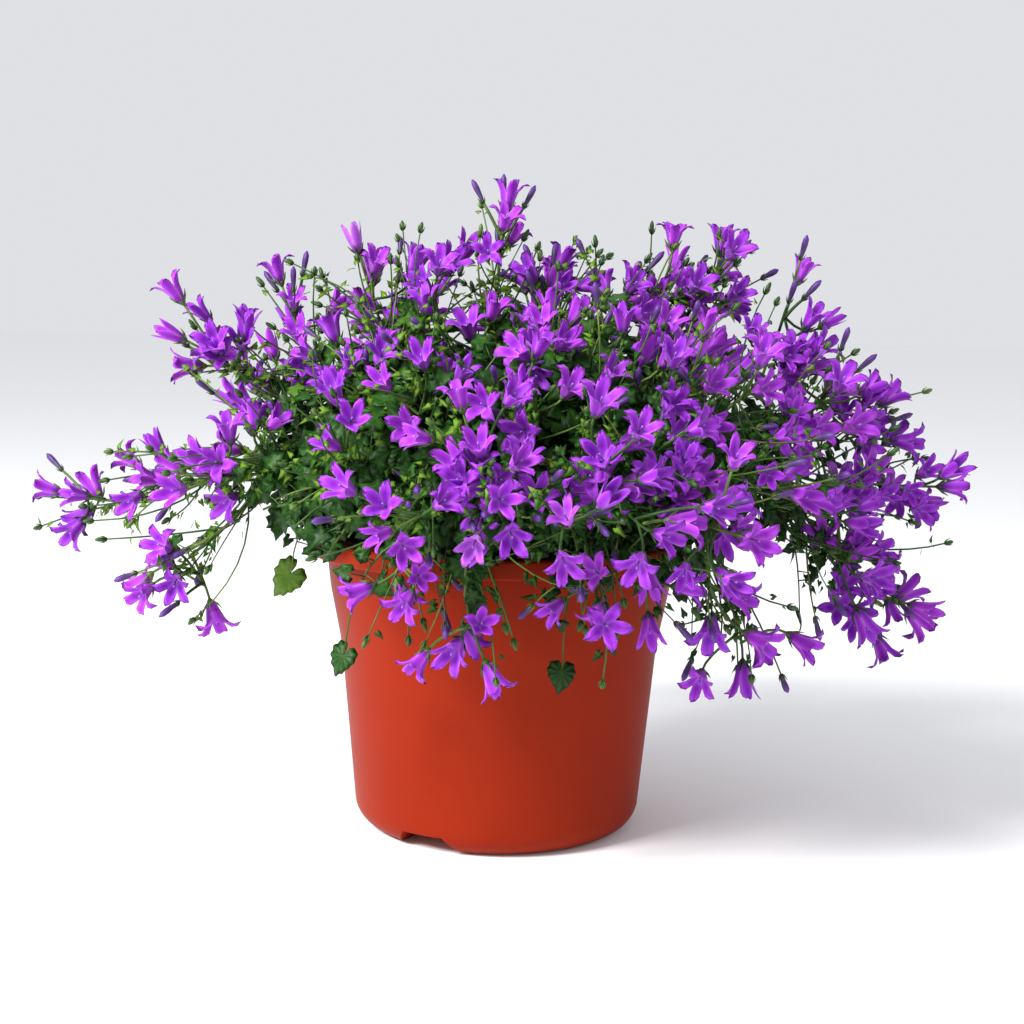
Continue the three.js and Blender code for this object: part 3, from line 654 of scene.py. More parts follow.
# The profile of a bell of size 1, and the share at which its lobes part.
BELL_SHARES = (0.0, 0.07, 0.2, 0.34, 0.44, 0.66, 0.84, 1.0)
BELL_RADII = (0.9, 1.5, 2.1, 2.5, 2.9, 4.1, 5.2, 6.2)
BELL_HEIGHTS = (0.0, 0.3, 1.8, 4.0, 5.6, 8.6, 10.2, 10.9)
NOTCH = 0.44
RIM_LEAST = 0.03
RIM_POWER = 0.68
PETAL_THICKNESS = 0.3
THROAT_DEPTH = 1.6

# Points of a calyx, a style and a bud: distances along the axis or pairs out from and up along it.
CUP_STEPS, CUP_RADII = (-1.6, -0.6, 0.5, 1.2), (0.4, 1.2, 1.6, 1.1)
SEPAL_STEPS, SEPAL_RADII = ((1.0, 0), (2.2, 1.2), (3.4, 3.2)), (0.5, 0.42, 0.08)
BUD_SEPAL_STEPS, BUD_SEPAL_RADII = ((0.3, 0), (0.95, 0.9), (1.25, 2.3)), (0.34, 0.26, 0.05)
STYLE_STEPS, STYLE_RADII = (1.5, 5.0, 6.6, 7.2), (0.2, 0.2, 0.34, 0.2)
BUD_STEPS = (0, 0.3, 0.62, 0.85, 1.0)
GREEN_BUD_RADII = (0.35, 0.72, 0.82, 0.6, 0.2)
VIOLET_BUD_RADII = (0.45, 0.85, 1.1, 1.0, 0.25)


def bell_shapes(bells):
    """Bells: a profile turned round each axis, cut at its mouth into five pointed lobes.

    A point lies at a share s of the way along the profile. From the notch between two lobes on, s
    is spread up to a rim that stands at 1 on a lobe's rib and falls to the notch by a power of the
    distance from the lobe's margin. Open bells spread their lobes further and bend the tips back,
    each lobe by its own curl, and the margins stand forward of the ribs. The inside is the same
    surface set in by the petal's thickness as far as the middle of the cup, and from there a cone
    down the throat. A mark is (distance from the rib, share along, age), and 2 is added to the
    share on the inside.
    """
    lobe = np.tile(LOBE_COLUMNS, LOBES)
    rib = np.repeat(turns(LOBES), len(LOBE_COLUMNS))
    rim = (1 - NOTCH) * (RIM_LEAST + (1 - RIM_LEAST) * (1 - np.abs(lobe)) ** RIM_POWER)
    rows = BELL_ROWS[:, None]
    inside = (np.arange(len(BELL_ROWS)) >= BELL_OUTER)[:, None]
    share = np.where(rows > NOTCH, NOTCH + (rows - NOTCH) / (1 - NOTCH) * rim, rows + 0 * lobe)
    outer = np.clip((share - NOTCH) / (1 - NOTCH), 0, 1)
    spread = bells["open"][:, None, None] + np.repeat(bells["curl"], len(LOBE_COLUMNS), axis=1)[:, None]
    radius = np.interp(share, BELL_SHARES, BELL_RADII)
    radius = radius + spread * 1.5 * outer**1.3 - PETAL_THICKNESS * inside * (1 - 0.85 * outer)
    back = np.maximum(spread, -0.2)
    height = np.interp(share, BELL_SHARES, BELL_HEIGHTS)
    height = height - back * (1.6 * outer**1.6 + 1.3 * outer**4) + 0.6 * np.abs(lobe) * outer**0.5
    height = height + inside * (0.1 + 0.2 * outer)
    turn = rib + lobe * np.pi / LOBES * (1 - 0.18 * outer) + bells["twist"][:, None, None] * outer
    local = around(radius, turn, height) * bells["size"][:, None, None, None]
    axes = (*frames_along(bells["facing"], bells["spin"]), bells["facing"])
    depth = np.array([0.0, THROAT_DEPTH])[:, None] * bells["size"][:, None, None]
    poles = bells["foot"][:, None] + bells["facing"][:, None] * depth
    marks = (np.abs(lobe), share + 2 * inside)
    return closed_grids(placed(local, axes, bells["foot"]), poles, marks, [[1, 0], [1, 2]], bells["age"])


# A leaf's outline from its tip, at 0, round to the notch at its stalk.
LEAF_AWAY = (0, 0.12, 0.3, 0.5, 0.7, 0.85, 0.95, 1)
LEAF_REACH = (1.28, 1.02, 0.92, 0.95, 1.02, 0.98, 0.7, 0.12)
BLADE_THICKNESS = 0.06

# Columns, bands, width, number of teeth and their depth.
LARGE_BLADE = (44, 3, 1.0, 11, 0.13)
SMALL_BLADE = (12, 2, 0.95, 6, 0.2)
BRACT_BLADE = (8, 1, 0.55, 4, 0.2)


def leaf_shapes(leaves, columns, bands, width, teeth, depth):
    """Heart-shaped toothed leaves: a blade round its middle, closed over and under.

    The outline's reach falls from a pointed tip round to a notch at the stalk, and a cosine round it
    cuts teeth of a depth into it, with a vein out to each tooth. The two halves fold up from the
    midrib, and the blade bends down to its tip and is quilted between the veins. A mark is (distance
    from a vein, share out, shade).
    """
    angle = turns(columns)
    away = np.abs((angle + np.pi) % (2 * np.pi) - np.pi) / np.pi
    vein = 0.5 - 0.5 * np.cos(teeth * angle)
    uneven = 1 + 0.5 * depth * np.sin(3 * angle + 0.8) * (1 - away)
    reach = np.interp(away, LEAF_AWAY, LEAF_REACH) * (1 + 0.3 * depth - depth * vein) * uneven
    out = np.linspace(0, 1, bands + 1)[1:]
    rows = np.concatenate([out, out[-2::-1]])[:, None]
    under = (np.arange(len(rows)) < bands - 1)[:, None]
    radius = rows * reach
    along = radius * np.cos(angle)
    across = radius * np.sin(angle) * width
    height = leaves["cup"][:, None, None] * radius**2 + leaves["fold"][:, None, None] * np.abs(across)
    height = height - 0.12 * np.maximum(along, 0) ** 2 + rows * (0.04 - 0.08 * vein)
    height = height - BLADE_THICKNESS * under
    size = leaves["size"][:, None, None]
    local = np.stack(np.broadcast_arrays(along, across, height), axis=-1) * size[..., None]
    axes = (leaves["way"], np.cross(leaves["face"], leaves["way"]), leaves["face"])
    poles = np.array([-BLADE_THICKNESS, 0.0])[:, None] * size
    poles = leaves["middle"][:, None] + leaves["face"][:, None] * poles
    return closed_grids(placed(local, axes, leaves["middle"]), poles, (vein, rows), 0, leaves["shade"])


# The fine growth, worked out from the plan

# How young leaves look unless a stem says otherwise.
FRESH = -0.12


def gather(items, keys):
    return {key: np.array([item[key] for item in items], dtype=float) for key in keys}


def clear_of_pot(points, radius):
    out = np.linalg.norm(points[:, :2], axis=1)
    inside = (out + radius < COLLAR_LOW_RADIUS - 3) & (points[:, 2] - radius > SOIL_TOP_Z)
    return (points[:, 2] - radius > POT_HEIGHT) | (out - radius > LIP_RADIUS) | inside


def clear_of_bells(points, middles, distance):
    apart = points[:, None] - middles[None]
    return np.all(np.einsum("ijk,ijk->ij", apart, apart) > distance * distance, axis=1)


def drawn_directions(rng, count):
    return units(rng.normal(size=(count, 3)))


def faces_out(rng, points, loose):
    """Which way leaves look: out of the mound, up, and to the nearer of its front and back."""
    out = units(points - vec(0, 0, HEART_Z - 30))
    light = np.where(points[:, 1:2] > 30, vec(0, 0.5, 0.25), vec(0, -0.6, 0.25))
    return units(0.8 * out + light + loose * drawn_directions(rng, len(points)))


def leaves_along(rng, curves, counts, size, lean, start=0.1, end=1.0, youth_and_shade=FRESH):
    """Leaves set round curves at random shares of their length, faces turned out and up."""
    which = np.repeat(np.arange(len(curves)), counts)
    count = len(which)
    t = rng.uniform(start, end, count)
    steps = curves.shape[1] - 1
    low = np.minimum((t * steps).astype(int), steps - 1)
    part = (t * steps - low)[:, None]
    root = curves[which, low] * (1 - part) + curves[which, low + 1] * part
    tangent = units(curves[which, low + 1] - curves[which, low])
    out = drawn_directions(rng, count)
    out = units(out - tangent * dots(out, tangent) + tangent * lean)
    half = size[0] + (size[1] - size[0]) * rng.random(count) * (1.15 - 0.5 * t)
    middle = root + out * (half * rng.uniform(1.0, 1.7, count) + 0.8)[:, None]
    return leaf_table(rng, root, middle, faces_out(rng, middle, 0.6), half, youth_and_shade)


def leaf_tone_with_painted_shade(rng, points, youth_and_shade):
    """From 0, dark leaves low, inside and on the right, to 1, young ones high, outside and on the lit left:
    painted shade and painted light by where a leaf stands, with a random spread of tone.
    """
    # Painted shade: darker the deeper a leaf stands in the mound; painted light: lighter to the lit left
    # and to the top.
    out = np.linalg.norm((points - vec(0, 0, 110)) / vec(95, 95, 75), axis=1)
    side = -0.0028 * points[:, 0] + 0.0055 * (points[:, 2] - 137)
    return np.clip(0.62 * out + side + youth_and_shade + rng.normal(0, 0.13, len(points)), 0, 1)


def leaf_table(rng, root, middle, face, half, youth_and_shade=FRESH):
    stalk = middle - root
    return {
        "root": root,
        "middle": middle,
        "face": face,
        "way": units(stalk - face * dots(stalk, face)),
        "size": half,
        "cup": rng.uniform(-0.25, 0.1, len(half)),
        "fold": rng.uniform(-0.05, 0.4, len(half)),
        "shade": leaf_tone_with_painted_shade(rng, middle, youth_and_shade),
    }


def keep_rows(table, kept):
    return {key: value[kept] for key, value in table.items()}


def join_tables(*tables):
    return {key: np.concatenate([table[key] for table in tables]) for key in tables[0]}


# The length from which a leaf hangs on its stalk.
LONG_STALK = 18.0


def stalk_paths(leaves, steps):
    """Paths from each leaf's root to the notch of its blade; long ones arch out before they hang."""
    notch = leaves["middle"] - leaves["way"] * (0.25 * leaves["size"])[:, None]
    stalk = notch - leaves["root"]
    long = np.linalg.norm(stalk, axis=1, keepdims=True) > LONG_STALK
    pull = stalk * np.where(long, vec(0.9, 0.9, 0.1), 0.5)
    pull = pull - leaves["face"] * (0.12 * leaves["size"])[:, None]
    return bends(leaves["root"], notch, pull, steps)


def leaf_stalks(leaves, radius, steps):
    # The stalks carry their leaves' shade marks, painted shade and light included.
    return tubes(stalk_paths(leaves, steps), (radius, 0.6 * radius), 3, leaves["shade"])


# Where the blooms crowd together: the middle of each mass and how many younger blooms fill it. Those at
# the back, which the photograph doesn't show, are guessed.
MASSES = (
    ((-8, -102, 129), 7),
    ((13, -100, 128), 3),
    ((31, -96, 128), 5),
    ((50, -93, 128), 9),
    ((52, -70, 143), 4),
    ((96, -34, 141), 6),
    ((-94, 0, 161), 3),
    ((-88, -36, 122), 2),
    ((-70, 0, 160), 2),
    ((58, 4, 183), 3),
    ((142, -6, 116), 3),
    ((118, -20, 120), 7),
    ((117, -26, 100), 4),
    ((116, -28, 82), 5),
    ((99, -12, 162), 6),
    ((120, -4, 141), 4),
    ((52, -42, 164), 4),
    ((12, -58, 164), 4),
    ((69, -76, 117), 3),
    ((-22, 76, 150), 6),
    ((36, 78, 146), 6),
    ((4, 62, 168), 3),
)
MASS_RADIUS = 10.5

# Where the blooms in front are small and half closed.
SPARSE = (
    (-48, -75, 126),
    (-9, -110, 112),
    (10, -88, 92),
    (-75, 10, 182),
    (-52, -52, 150),
    (-6, -60, 162),
    (96, 0, 178),
)
SPARSE_REACH = 20.0

# Where the back of the mound begins, and the share of its elders that get a bloom aside of them.
BACK = 35.0
BACK_SHARE = 0.9

# The share of the plan's bells that are half closed, and the shade from which a twig's bud is violet.
YOUNG_SHARE = 0.07
RIPE = 0.78
LONG_BUD = 9.0
LONGEST_TWIG = 42.0

# How far the leaves of a heart stand off its egg, and the seeds of each shoot's and sector's looks.
HEART_LAYERS = (-2.0, 2.0, 6.0, 10.0)
SHOOT_SEED = 40
FLOWER_SEED = 90


def sparseness(points):
    apart = np.linalg.norm(points[:, None] - np.array(SPARSE, dtype=float), axis=2)
    return np.exp(-((apart / SPARSE_REACH) ** 2)).max(axis=1)


def younger_blooms(elders, which, middle, facing, rng):
    """Blooms of their own size, turn and age on stalks from the same roots as the elders named."""
    count = len(which)
    table = keep_rows(elders, which)
    table["size"] = rng.uniform(0.84, 1.0, count)
    table["middle"] = middle
    table["facing"] = facing
    table["foot"] = middle - facing * (BELL_BALL_AT * table["size"])[:, None]
    table["spin"] = rng.uniform(0, 2 * math.pi, count)
    table["open"] = np.clip(rng.normal(0.5, 0.4, count), -0.4, 1.1)
    table["age"] = rng.random(count)
    table["curl"] = rng.normal(0, 0.28, (count, LOBES))
    return keep_rows(table, clear_of_pot(middle, 6.0) & clear_of_pot(table["foot"], 2.0))


def massed_blooms(elders, place, rng):
    """The blooms of each mass, spread by the golden angle over a dome that faces the front or back.

    The distance from the dome's middle is its radius by the root of the bloom's share of the count.
    """
    tables = []
    for at, count in MASSES:
        if sector_of(at) != place:
            continue
        index = np.arange(count) + 0.5
        reach = MASS_RADIUS * np.sqrt(index / count)
        angle = GOLDEN_ANGLE * index + rng.uniform(0, 2 * math.pi)
        front = -1 if at[1] < BACK else 1
        dome = front * (3 - 0.35 * reach)
        offset = np.stack([reach * np.cos(angle), dome, reach * np.sin(angle)], axis=1)
        middle = vec(*at) + offset + rng.normal(0, 1.2, (count, 3))
        facing = 0.06 * offset * [1, 0, 1] + vec(0.2 * np.sign(at[0]), 0.75 * front, 0.3)
        facing = units(facing + 0.25 * drawn_directions(rng, count))
        apart = np.linalg.norm(elders["root"][None] - middle[:, None], axis=2)
        tables.append(younger_blooms(elders, apart.argmin(axis=1), middle, facing, rng))
    return join_tables(keep_rows(elders, slice(0, 0)), *tables)


def back_blooms(elders, rng):
    """Blooms that fill the back of the mound, aside of most of the elders there."""
    behind = elders["middle"][:, 1] > BACK
    which = np.flatnonzero(behind & (rng.random(len(behind)) < BACK_SHARE))
    count = len(which)
    side = frames_along(elders["facing"][which], rng.uniform(0, 2 * math.pi, count))[0]
    middle = elders["middle"][which] + side * rng.uniform(12, 18, (count, 1))
    facing = elders["facing"][which] + 0.4 * side + 0.3 * drawn_directions(rng, count) + UP * 0.1
    return younger_blooms(elders, which, middle, units(facing), rng)


def bell_table(spray, rng):
    """The looks of a spray's bells: a few half closed, and small and closing where blooms are sparse."""
    table = gather(spray.flowers, ("middle", "facing", "spin", "size", "foot", "root"))
    count = len(spray.flowers)
    young = rng.random(count) < YOUNG_SHARE
    sparse = sparseness(table["middle"])
    table["curl"] = rng.normal(0, 0.28, (count, LOBES))
    closing = rng.uniform(-1.7, -1.2, count)
    opened = np.clip(rng.normal(0.5, 0.45, count), -0.5, 1.2)
    table["open"] = np.where(young, closing, opened) - 0.6 * sparse
    table["size"] = table["size"] * rng.uniform(0.88, 1.06, count) * (1 - 0.14 * sparse)
    table["age"] = rng.random(count)
    table["twist"] = rng.normal(0, 0.09, count)
    return table


def on_axis(bells, distances):
    """Paths on each bell's axis, through points at distances from its foot."""
    reach = bells["facing"] * bells["size"][:, None]
    return np.stack([bells["foot"] + reach * distance for distance in distances], axis=1)


def sepal_shapes(foot, axis, spin, size, steps, radii, shade):
    """Five sepals: tubes through points so far out from an axis and so far up along it."""
    x, y = frames_along(axis, spin)
    sepals = []
    for angle in turns(LOBES):
        side = x * math.cos(angle) + y * math.sin(angle)
        path = np.stack([foot + (side * out + axis * up) * size for out, up in steps], axis=1)
        sepals.append(tubes(path, radii, 3, shade))
    return join(*sepals)


def calyx_shapes(bells):
    """The green cup under each bell and its five narrow sepals, which stand between the lobes."""
    cups = tubes(on_axis(bells, CUP_STEPS), CUP_RADII, 6, bells["age"])
    spin, size = bells["spin"] + math.pi / LOBES, bells["size"][:, None]
    sepals = sepal_shapes(
        bells["foot"], bells["facing"], spin, size, SEPAL_STEPS, SEPAL_RADII, bells["age"]
    )
    return join(cups, sepals)


def stalk_shapes(bells):
    """A thin stalk from each bell's root that curves into the line of the bell."""
    foot = bells["foot"] - bells["facing"] * (1.2 * bells["size"])[:, None]
    reach = np.linalg.norm(foot - bells["root"], axis=1)[:, None]
    pull = (foot - bells["root"]) - bells["facing"] * reach * 0.4
    return tubes(bends(bells["root"], foot, pull, 5), (0.5, 0.42), 4, bells["age"])


def style_shapes(bells):
    """The pale style in each throat, swollen near its tip."""
    return tubes(on_axis(bells, STYLE_STEPS), STYLE_RADII, 4, bells["age"])


def bud_shapes(foot, way, length, radii, shade):
    """Closed buds, swollen at two thirds of their length and pointed."""
    steps = np.array(BUD_STEPS)[None, :, None] * length[:, None, None]
    return tubes(foot[:, None] + way[:, None] * steps, radii, 5, shade)


def bud_calyx(foot, way, shade):
    """Five short sepals held against a bud."""
    return sepal_shapes(foot, way, shade * 6, 1.0, BUD_SEPAL_STEPS, BUD_SEPAL_RADII, shade)


def leaf_count(spray):
    """A stem's small leaves: one in 2.4 mm in the mound, and far fewer on a trailing stem."""
    trails = spray.at[0] < -100 or spray.at[2] < 95
    return int(spray.span / (8 if trails else 2.4))


def twig_table(rng, sprays, per_spray):
    """Thin side shoots that leave a spray's stem and end in a bud."""
    roots, ends, pulls = [], [], []
    for spray in sprays:
        root = bezier(spray.curve, rng.uniform(0.35, 1.0, per_spray))
        aim = spray.at + rng.normal(size=(per_spray, 3)) * [11, 11, 9]
        aim = aim + spray.direction * rng.uniform(-14, 9, per_spray)[:, None]
        reach = np.linalg.norm(aim - root, axis=1, keepdims=True)
        aim = root + (aim - root) * np.minimum(1, LONGEST_TWIG / reach)
        roots.append(root)
        ends.append(aim)
        pulls.append((aim - root) * 0.5 + drawn_directions(rng, per_spray) * 0.18 * reach)
    root, end, pull = (np.concatenate(rows) for rows in (roots, ends, pulls))
    return {"root": root, "end": end, "pull": pull, "shade": rng.random(len(root))}


# How light the leaves of each shoot's rim stems are: those at the front right hang in deep shade, which is
# painted into them as a darker tone.
RIM_TONE_AND_SHADE = (-0.3, -0.12, -0.12, -0.05, -0.1, -0.4)

# How far each shoot's leafy side stems reach out from the pot's axis.
FILLER_REACH = (112, 96, 88, 88, 90, 98)


def filler_curves(rng, place, count):
    """Leafy side stems that rise out of a heart to a dome under the flowers and fill the mound."""
    angle = math.radians(place * SECTOR) + rng.uniform(-0.62, 0.62, count)
    share = np.sqrt(rng.uniform(0.02, 1.0, count))
    crown = 170 - 58 * share**2 + rng.normal(0, 8, count)
    end = around(FILLER_REACH[place] * share, angle, crown)
    middle = heart_middle(place)
    start = middle + (end - middle) * 0.12 + rng.normal(size=(count, 3)) * 4
    pull = (end - start) * 0.45 + UP * 10 + drawn_directions(rng, count) * 6
    return bends(start, end, pull, 7)


def rim_curves(rng, place, count):
    """Short side stems that arch out of a heart over the pot's lip."""
    angle = math.radians(place * SECTOR) + rng.uniform(-0.55, 0.55, count)
    level = around(1, angle, 0)
    end = level * rng.uniform(64, 82, count)[:, None] + UP * rng.uniform(104, 122, count)[:, None]
    start = level * 44 + UP * rng.uniform(104, 122, count)[:, None]
    return bends(start, end, (end - start) * 0.5 + UP * 9, 6)


def heart_leaves(rng, place, count, layers):
    """Leaves crowded over a heart's egg, laid by the golden angle with jitter, in layers."""
    index = np.arange(count) + 0.5
    height = 1 - 2 * index / count
    out = around(np.sqrt(1 - height**2), index * GOLDEN_ANGLE, height)
    out = units(out + 0.12 * rng.normal(size=(count, 3)))
    heart = heart_middle(place)
    skin = 1 / np.array([heart_depth(heart + way, place, 0) for way in out])
    rise = rng.choice(layers, count) + rng.normal(0, 1.0, count)
    middle = heart + out * (skin + rise)[:, None]
    root = heart + out * (0.72 * skin)[:, None]
    half = rng.uniform(3.8, 6.4, count)
    return leaf_table(rng, root, middle, faces_out(rng, middle, 0.6), half)


# Materials


def add_node(tree, kind, settings=None, **inputs):
    """Adds a node, sets its properties, and sets or links its inputs by name or place."""
    node = tree.nodes.new(kind)
    for name, value in (settings or {}).items():
        setattr(node, name, value)
    for name, value in inputs.items():
        key = int(name[1:]) if name[0] == "i" and name[1:].isdigit() else name.replace("_", " ")
        if isinstance(value, bpy.types.NodeSocket):
            tree.links.new(value, node.inputs[key])
        else:
            node.inputs[key].default_value = value
    return node


def new_material(name, **surface):
    """A material with one Principled surface whose constants are set on its own sockets."""
    material = bpy.data.materials.new(name)
    material.use_nodes = True
    shader = material.node_tree.nodes["Principled BSDF"]
    for key, value in surface.items():
        shader.inputs[key.replace("_", " ")].default_value = value
    return material, material.node_tree


def dress(material, colour, height=None, **bump):
    """Links a colour, and a bump where a height is given, to a material's surface."""
    tree = material.node_tree
    shader = tree.nodes["Principled BSDF"]
    tree.links.new(colour, shader.inputs["Base Color"])
    if height is not None:
        normal = add_node(tree, "ShaderNodeBump", Height=height, **bump).outputs["Normal"]
        tree.links.new(normal, shader.inputs["Normal"])
    return material


def rgba(colour):
    return (*colour, 1.0)


def ramp(tree, factor, *stops):
    """A colour ramp from (place, hex colour) stops."""
    node = add_node(tree, "ShaderNodeValToRGB", i0=factor)
    elements = node.color_ramp.elements
    while len(elements) < len(stops):
        elements.new(0.5)
    for element, (place, colour) in zip(elements, stops):
        element.position = place
        element.color = rgba(linear(colour))
    return node.outputs["Color"]


def object_noise(tree, grain, detail=3.0):
    """Noise whose grains are about a given number of millimetres apart."""
    place = add_node(tree, "ShaderNodeTexCoord").outputs["Object"]
    noise = add_node(tree, "ShaderNodeTexNoise", Vector=place, Scale=1 / (grain * MM), Detail=detail)
    return noise.outputs["Fac"]


def mark_parts(tree):
    mark = add_node(tree, "ShaderNodeAttribute", {"attribute_name": "mark"})
    parts = add_node(tree, "ShaderNodeSeparateXYZ", Vector=mark.outputs["Vector"])
    return parts.outputs


def mix(tree, factor, a, b):
    return add_node(tree, "ShaderNodeMix", {"data_type": "RGBA"}, i0=factor, i6=a, i7=b).outputs[2]


def mottle(tree, noise, most, a, b):
    """Blends up to a share of the second colour into the first where the noise is strong."""
    share = add_node(tree, "ShaderNodeMapRange", i0=noise, i1=0.35, i2=0.65, i3=0.0, i4=most)
    return mix(tree, share.outputs[0], a, b)


def petal_material(colour):
    """Fresh bellflower petal: thin and slightly velvety, darker along the rib, paler to the margins with
    painted highlight, and darker up the throat with painted shade.
    """
    material, tree = new_material(
        "violet_petal", Roughness=0.6, IOR=1.34, Sheen_Weight=0.08, Sheen_Roughness=0.4
    )
    across, along, age = mark_parts(tree)[:3]
    inside = add_node(tree, "ShaderNodeMath", {"operation": "GREATER_THAN"}, i0=along, i1=1.5).outputs[0]
    share = add_node(tree, "ShaderNodeMath", {"operation": "MODULO"}, i0=along, i1=2.0).outputs[0]
    # Across a lobe: darker along the rib, paler to the margins, the palest margin colours being painted
    # highlight.
    lobe = ramp(
        tree, across, (0, "#560C86"), (0.12, "#821CB6"), (0.5, "#AA36D2"), (0.85, "#D272F0"), (1, "#E8AAFA")
    )
    tube = ramp(
        tree, share, (0, "#58107E"), (0.3, "#7C1CA6"), (0.7, "#962AC0"), (0.9, "#7818A2"), (1, "#440A66")
    )
    # Inside: pale at the bottom of the throat, darker up the throat with painted shade, lighter out on the
    # lobes.
    throat = ramp(
        tree, share, (0, "#A886C4"), (0.22, "#7A2CAE"), (0.5, "#5C0E8A"), (0.75, "#922CC2"), (1, "#B246DE")
    )
    tint = ramp(tree, age, (0, "#64149E"), (0.5, "#9026BC"), (0.95, "#B43CC8"), (1, "#C08CC2"))
    petal = mix(tree, 0.55, mix(tree, inside, tube, throat), lobe)
    petal = mottle(tree, object_noise(tree, 3.0), 0.3, mix(tree, 0.35, petal, tint), rgba(colour))
    return dress(material, petal, object_noise(tree, 0.9), Strength=0.06, Distance=0.0002)


def leaf_material(colour):
    """Fresh leaf: semi-matt, deep green with paler veins, yellower on some leaves, near black where painted
    shade falls and lighter where painted light falls.
    """
    material, tree = new_material("fresh_leaf", Roughness=0.45, IOR=1.42, Specular_IOR_Level=0.22)
    vein, _, shade = mark_parts(tree)[:3]
    # The blade's colour by the shade mark: near black painted shade up to yellow green, which is partly
    # young growth and partly painted light.
    blade = ramp(tree, shade, (0, "#051503"), (0.35, "#0E2C06"), (0.7, "#214C0C"), (1, "#6A8C22"))
    ridge = ramp(tree, vein, (0, "#467022"), (0.3, "#234F14"), (0.7, "#163A0B"), (1, "#102F07"))
    leaf = mottle(tree, object_noise(tree, 4.0), 0.25, mix(tree, 0.25, blade, ridge), rgba(colour))
    return dress(material, leaf, object_noise(tree, 1.2), Strength=0.25, Distance=0.0004)


def stem_material():
    """Young stem: smooth and yellow-green, tinged with brown violet in places; leaf stalks take their
    leaves' painted shade and light.
    """
    material, tree = new_material("young_stem", Roughness=0.5, IOR=1.42)
    shade = mark_parts(tree)[2]
    green = ramp(tree, shade, (0, "#1E3A0E"), (0.5, "#365818"), (0.85, "#627A2C"), (1, "#43292E"))
    return dress(material, mottle(tree, object_noise(tree, 6.0), 0.5, green, rgba(linear("#2C4C16"))))


def style_material():
    """Pale waxy style of a bell."""
    material, tree = new_material("pale_style", Roughness=0.45, IOR=1.42)
    return dress(material, ramp(tree, mark_parts(tree)[1], (0, "#7A3CA8"), (1, "#A878CC")))


def bud_material():
    """Closed corolla: dull blue violet, greyer at its foot."""
    material, tree = new_material("closed_bud", Roughness=0.5, IOR=1.42)
    colour = ramp(tree, mark_parts(tree)[1], (0, "#55506A"), (0.4, "#3E2358"), (1, "#5A2A86"))
    return dress(material, colour)


def pot_material(colour):
    """Injection-moulded polypropylene: satin terracotta, finely grained and a little uneven in tone."""
    material, tree = new_material(
        "moulded_polypropylene", Roughness=0.46, IOR=1.49, Specular_IOR_Level=0.06
    )
    base = mottle(tree, object_noise(tree, 30.0, 2.0), 0.35, rgba(colour), rgba(linear("#7A1E07")))
    return dress(material, base, object_noise(tree, 0.8, 4.0), Strength=0.12, Distance=0.0002)


def soil_material(colour):
    """Peat-based potting mix: matt and dark brown with paler crumbs."""
    material, tree = new_material("potting_mix", Roughness=0.95, IOR=1.4)
    crumb = object_noise(tree, 2.5, 6.0)
    base = mottle(tree, crumb, 1.0, rgba(colour), rgba(linear("#4A3526")))
    return dress(material, base, crumb, Strength=0.8, Distance=0.002)


# Pot and soil


CORNER_MIDDLE = (BASE_RADIUS - CORNER_ROUNDING, CORNER_ROUNDING)
CREASE_DEGREES = 32


def round_points(middle, size, start, end, steps):
    angle = np.radians(np.linspace(start, end, steps))
    return np.stack([middle[0] + size * np.cos(angle), middle[1] + size * np.sin(angle)], axis=1)


def turned(outline, columns):
    """A closed turned shape: the outline of (radius, height) pairs starts and ends on the axis."""
    outline = np.asarray(outline, dtype=float)
    body = outline[1:-1]
    rings = around(body[:, :1], turns(columns), body[:, 1:])
    ends = np.array([[0, 0, outline[0, 1]], [0, 0, outline[-1, 1]]])
    points = np.concatenate([rings.reshape(-1, 3), ends])
    return points, ring_faces(len(body), columns), np.zeros(points.shape)


def channel_bar(grow, foot):
    """A closed bar of six-cornered section across the base, grown all round."""
    low, top = CHANNEL_LOW_HALF_WIDTH + grow, CHANNEL_TOP_HALF_WIDTH + grow
    knee, roof = min(foot + 1, 0.5), CHANNEL_HEIGHT + grow
    section = np.array([[-low, foot], [low, foot], [low, knee], [top, roof], [-top, roof], [-low, knee]])
    angle = math.radians(CHANNEL_AZIMUTH)
    way, side = vec(math.cos(angle), math.sin(angle), 0), vec(-math.sin(angle), math.cos(angle), 0)
    across = side * section[:, :1] + UP * section[:, 1:]
    ends = [across - way * LIP_RADIUS, across + way * LIP_RADIUS]
    poles = [end.mean(axis=0, keepdims=True) for end in ends]
    points = np.concatenate([*ends, *poles])
    return points, ring_faces(2, len(section)), np.zeros(points.shape)


def plain_object(name, shape):
    mesh = bpy.data.meshes.new(name)
    faces = [tuple(face) for part in shape[1] for face in part.tolist()]
    mesh.from_pydata((shape[0] * MM).tolist(), [], faces)
    mesh.update()
    made = bpy.data.objects.new(name, mesh)
    bpy.context.collection.objects.link(made)
    return made


def combine(target, steps):
    """Joins or cuts other shapes into a piece, then drops them."""
    for operation, tool in steps:
        change = target.modifiers.new(operation, "BOOLEAN")
        change.operation = operation
        change.object = tool
        change.solver = "MANIFOLD"
    made = bpy.data.meshes.new_from_object(target.evaluated_get(bpy.context.evaluated_depsgraph_get()))
    target.modifiers.clear()
    spare, target.data = target.data, made
    bpy.data.meshes.remove(spare)
    for _, tool in steps:
        bpy.data.objects.remove(tool)
    return target


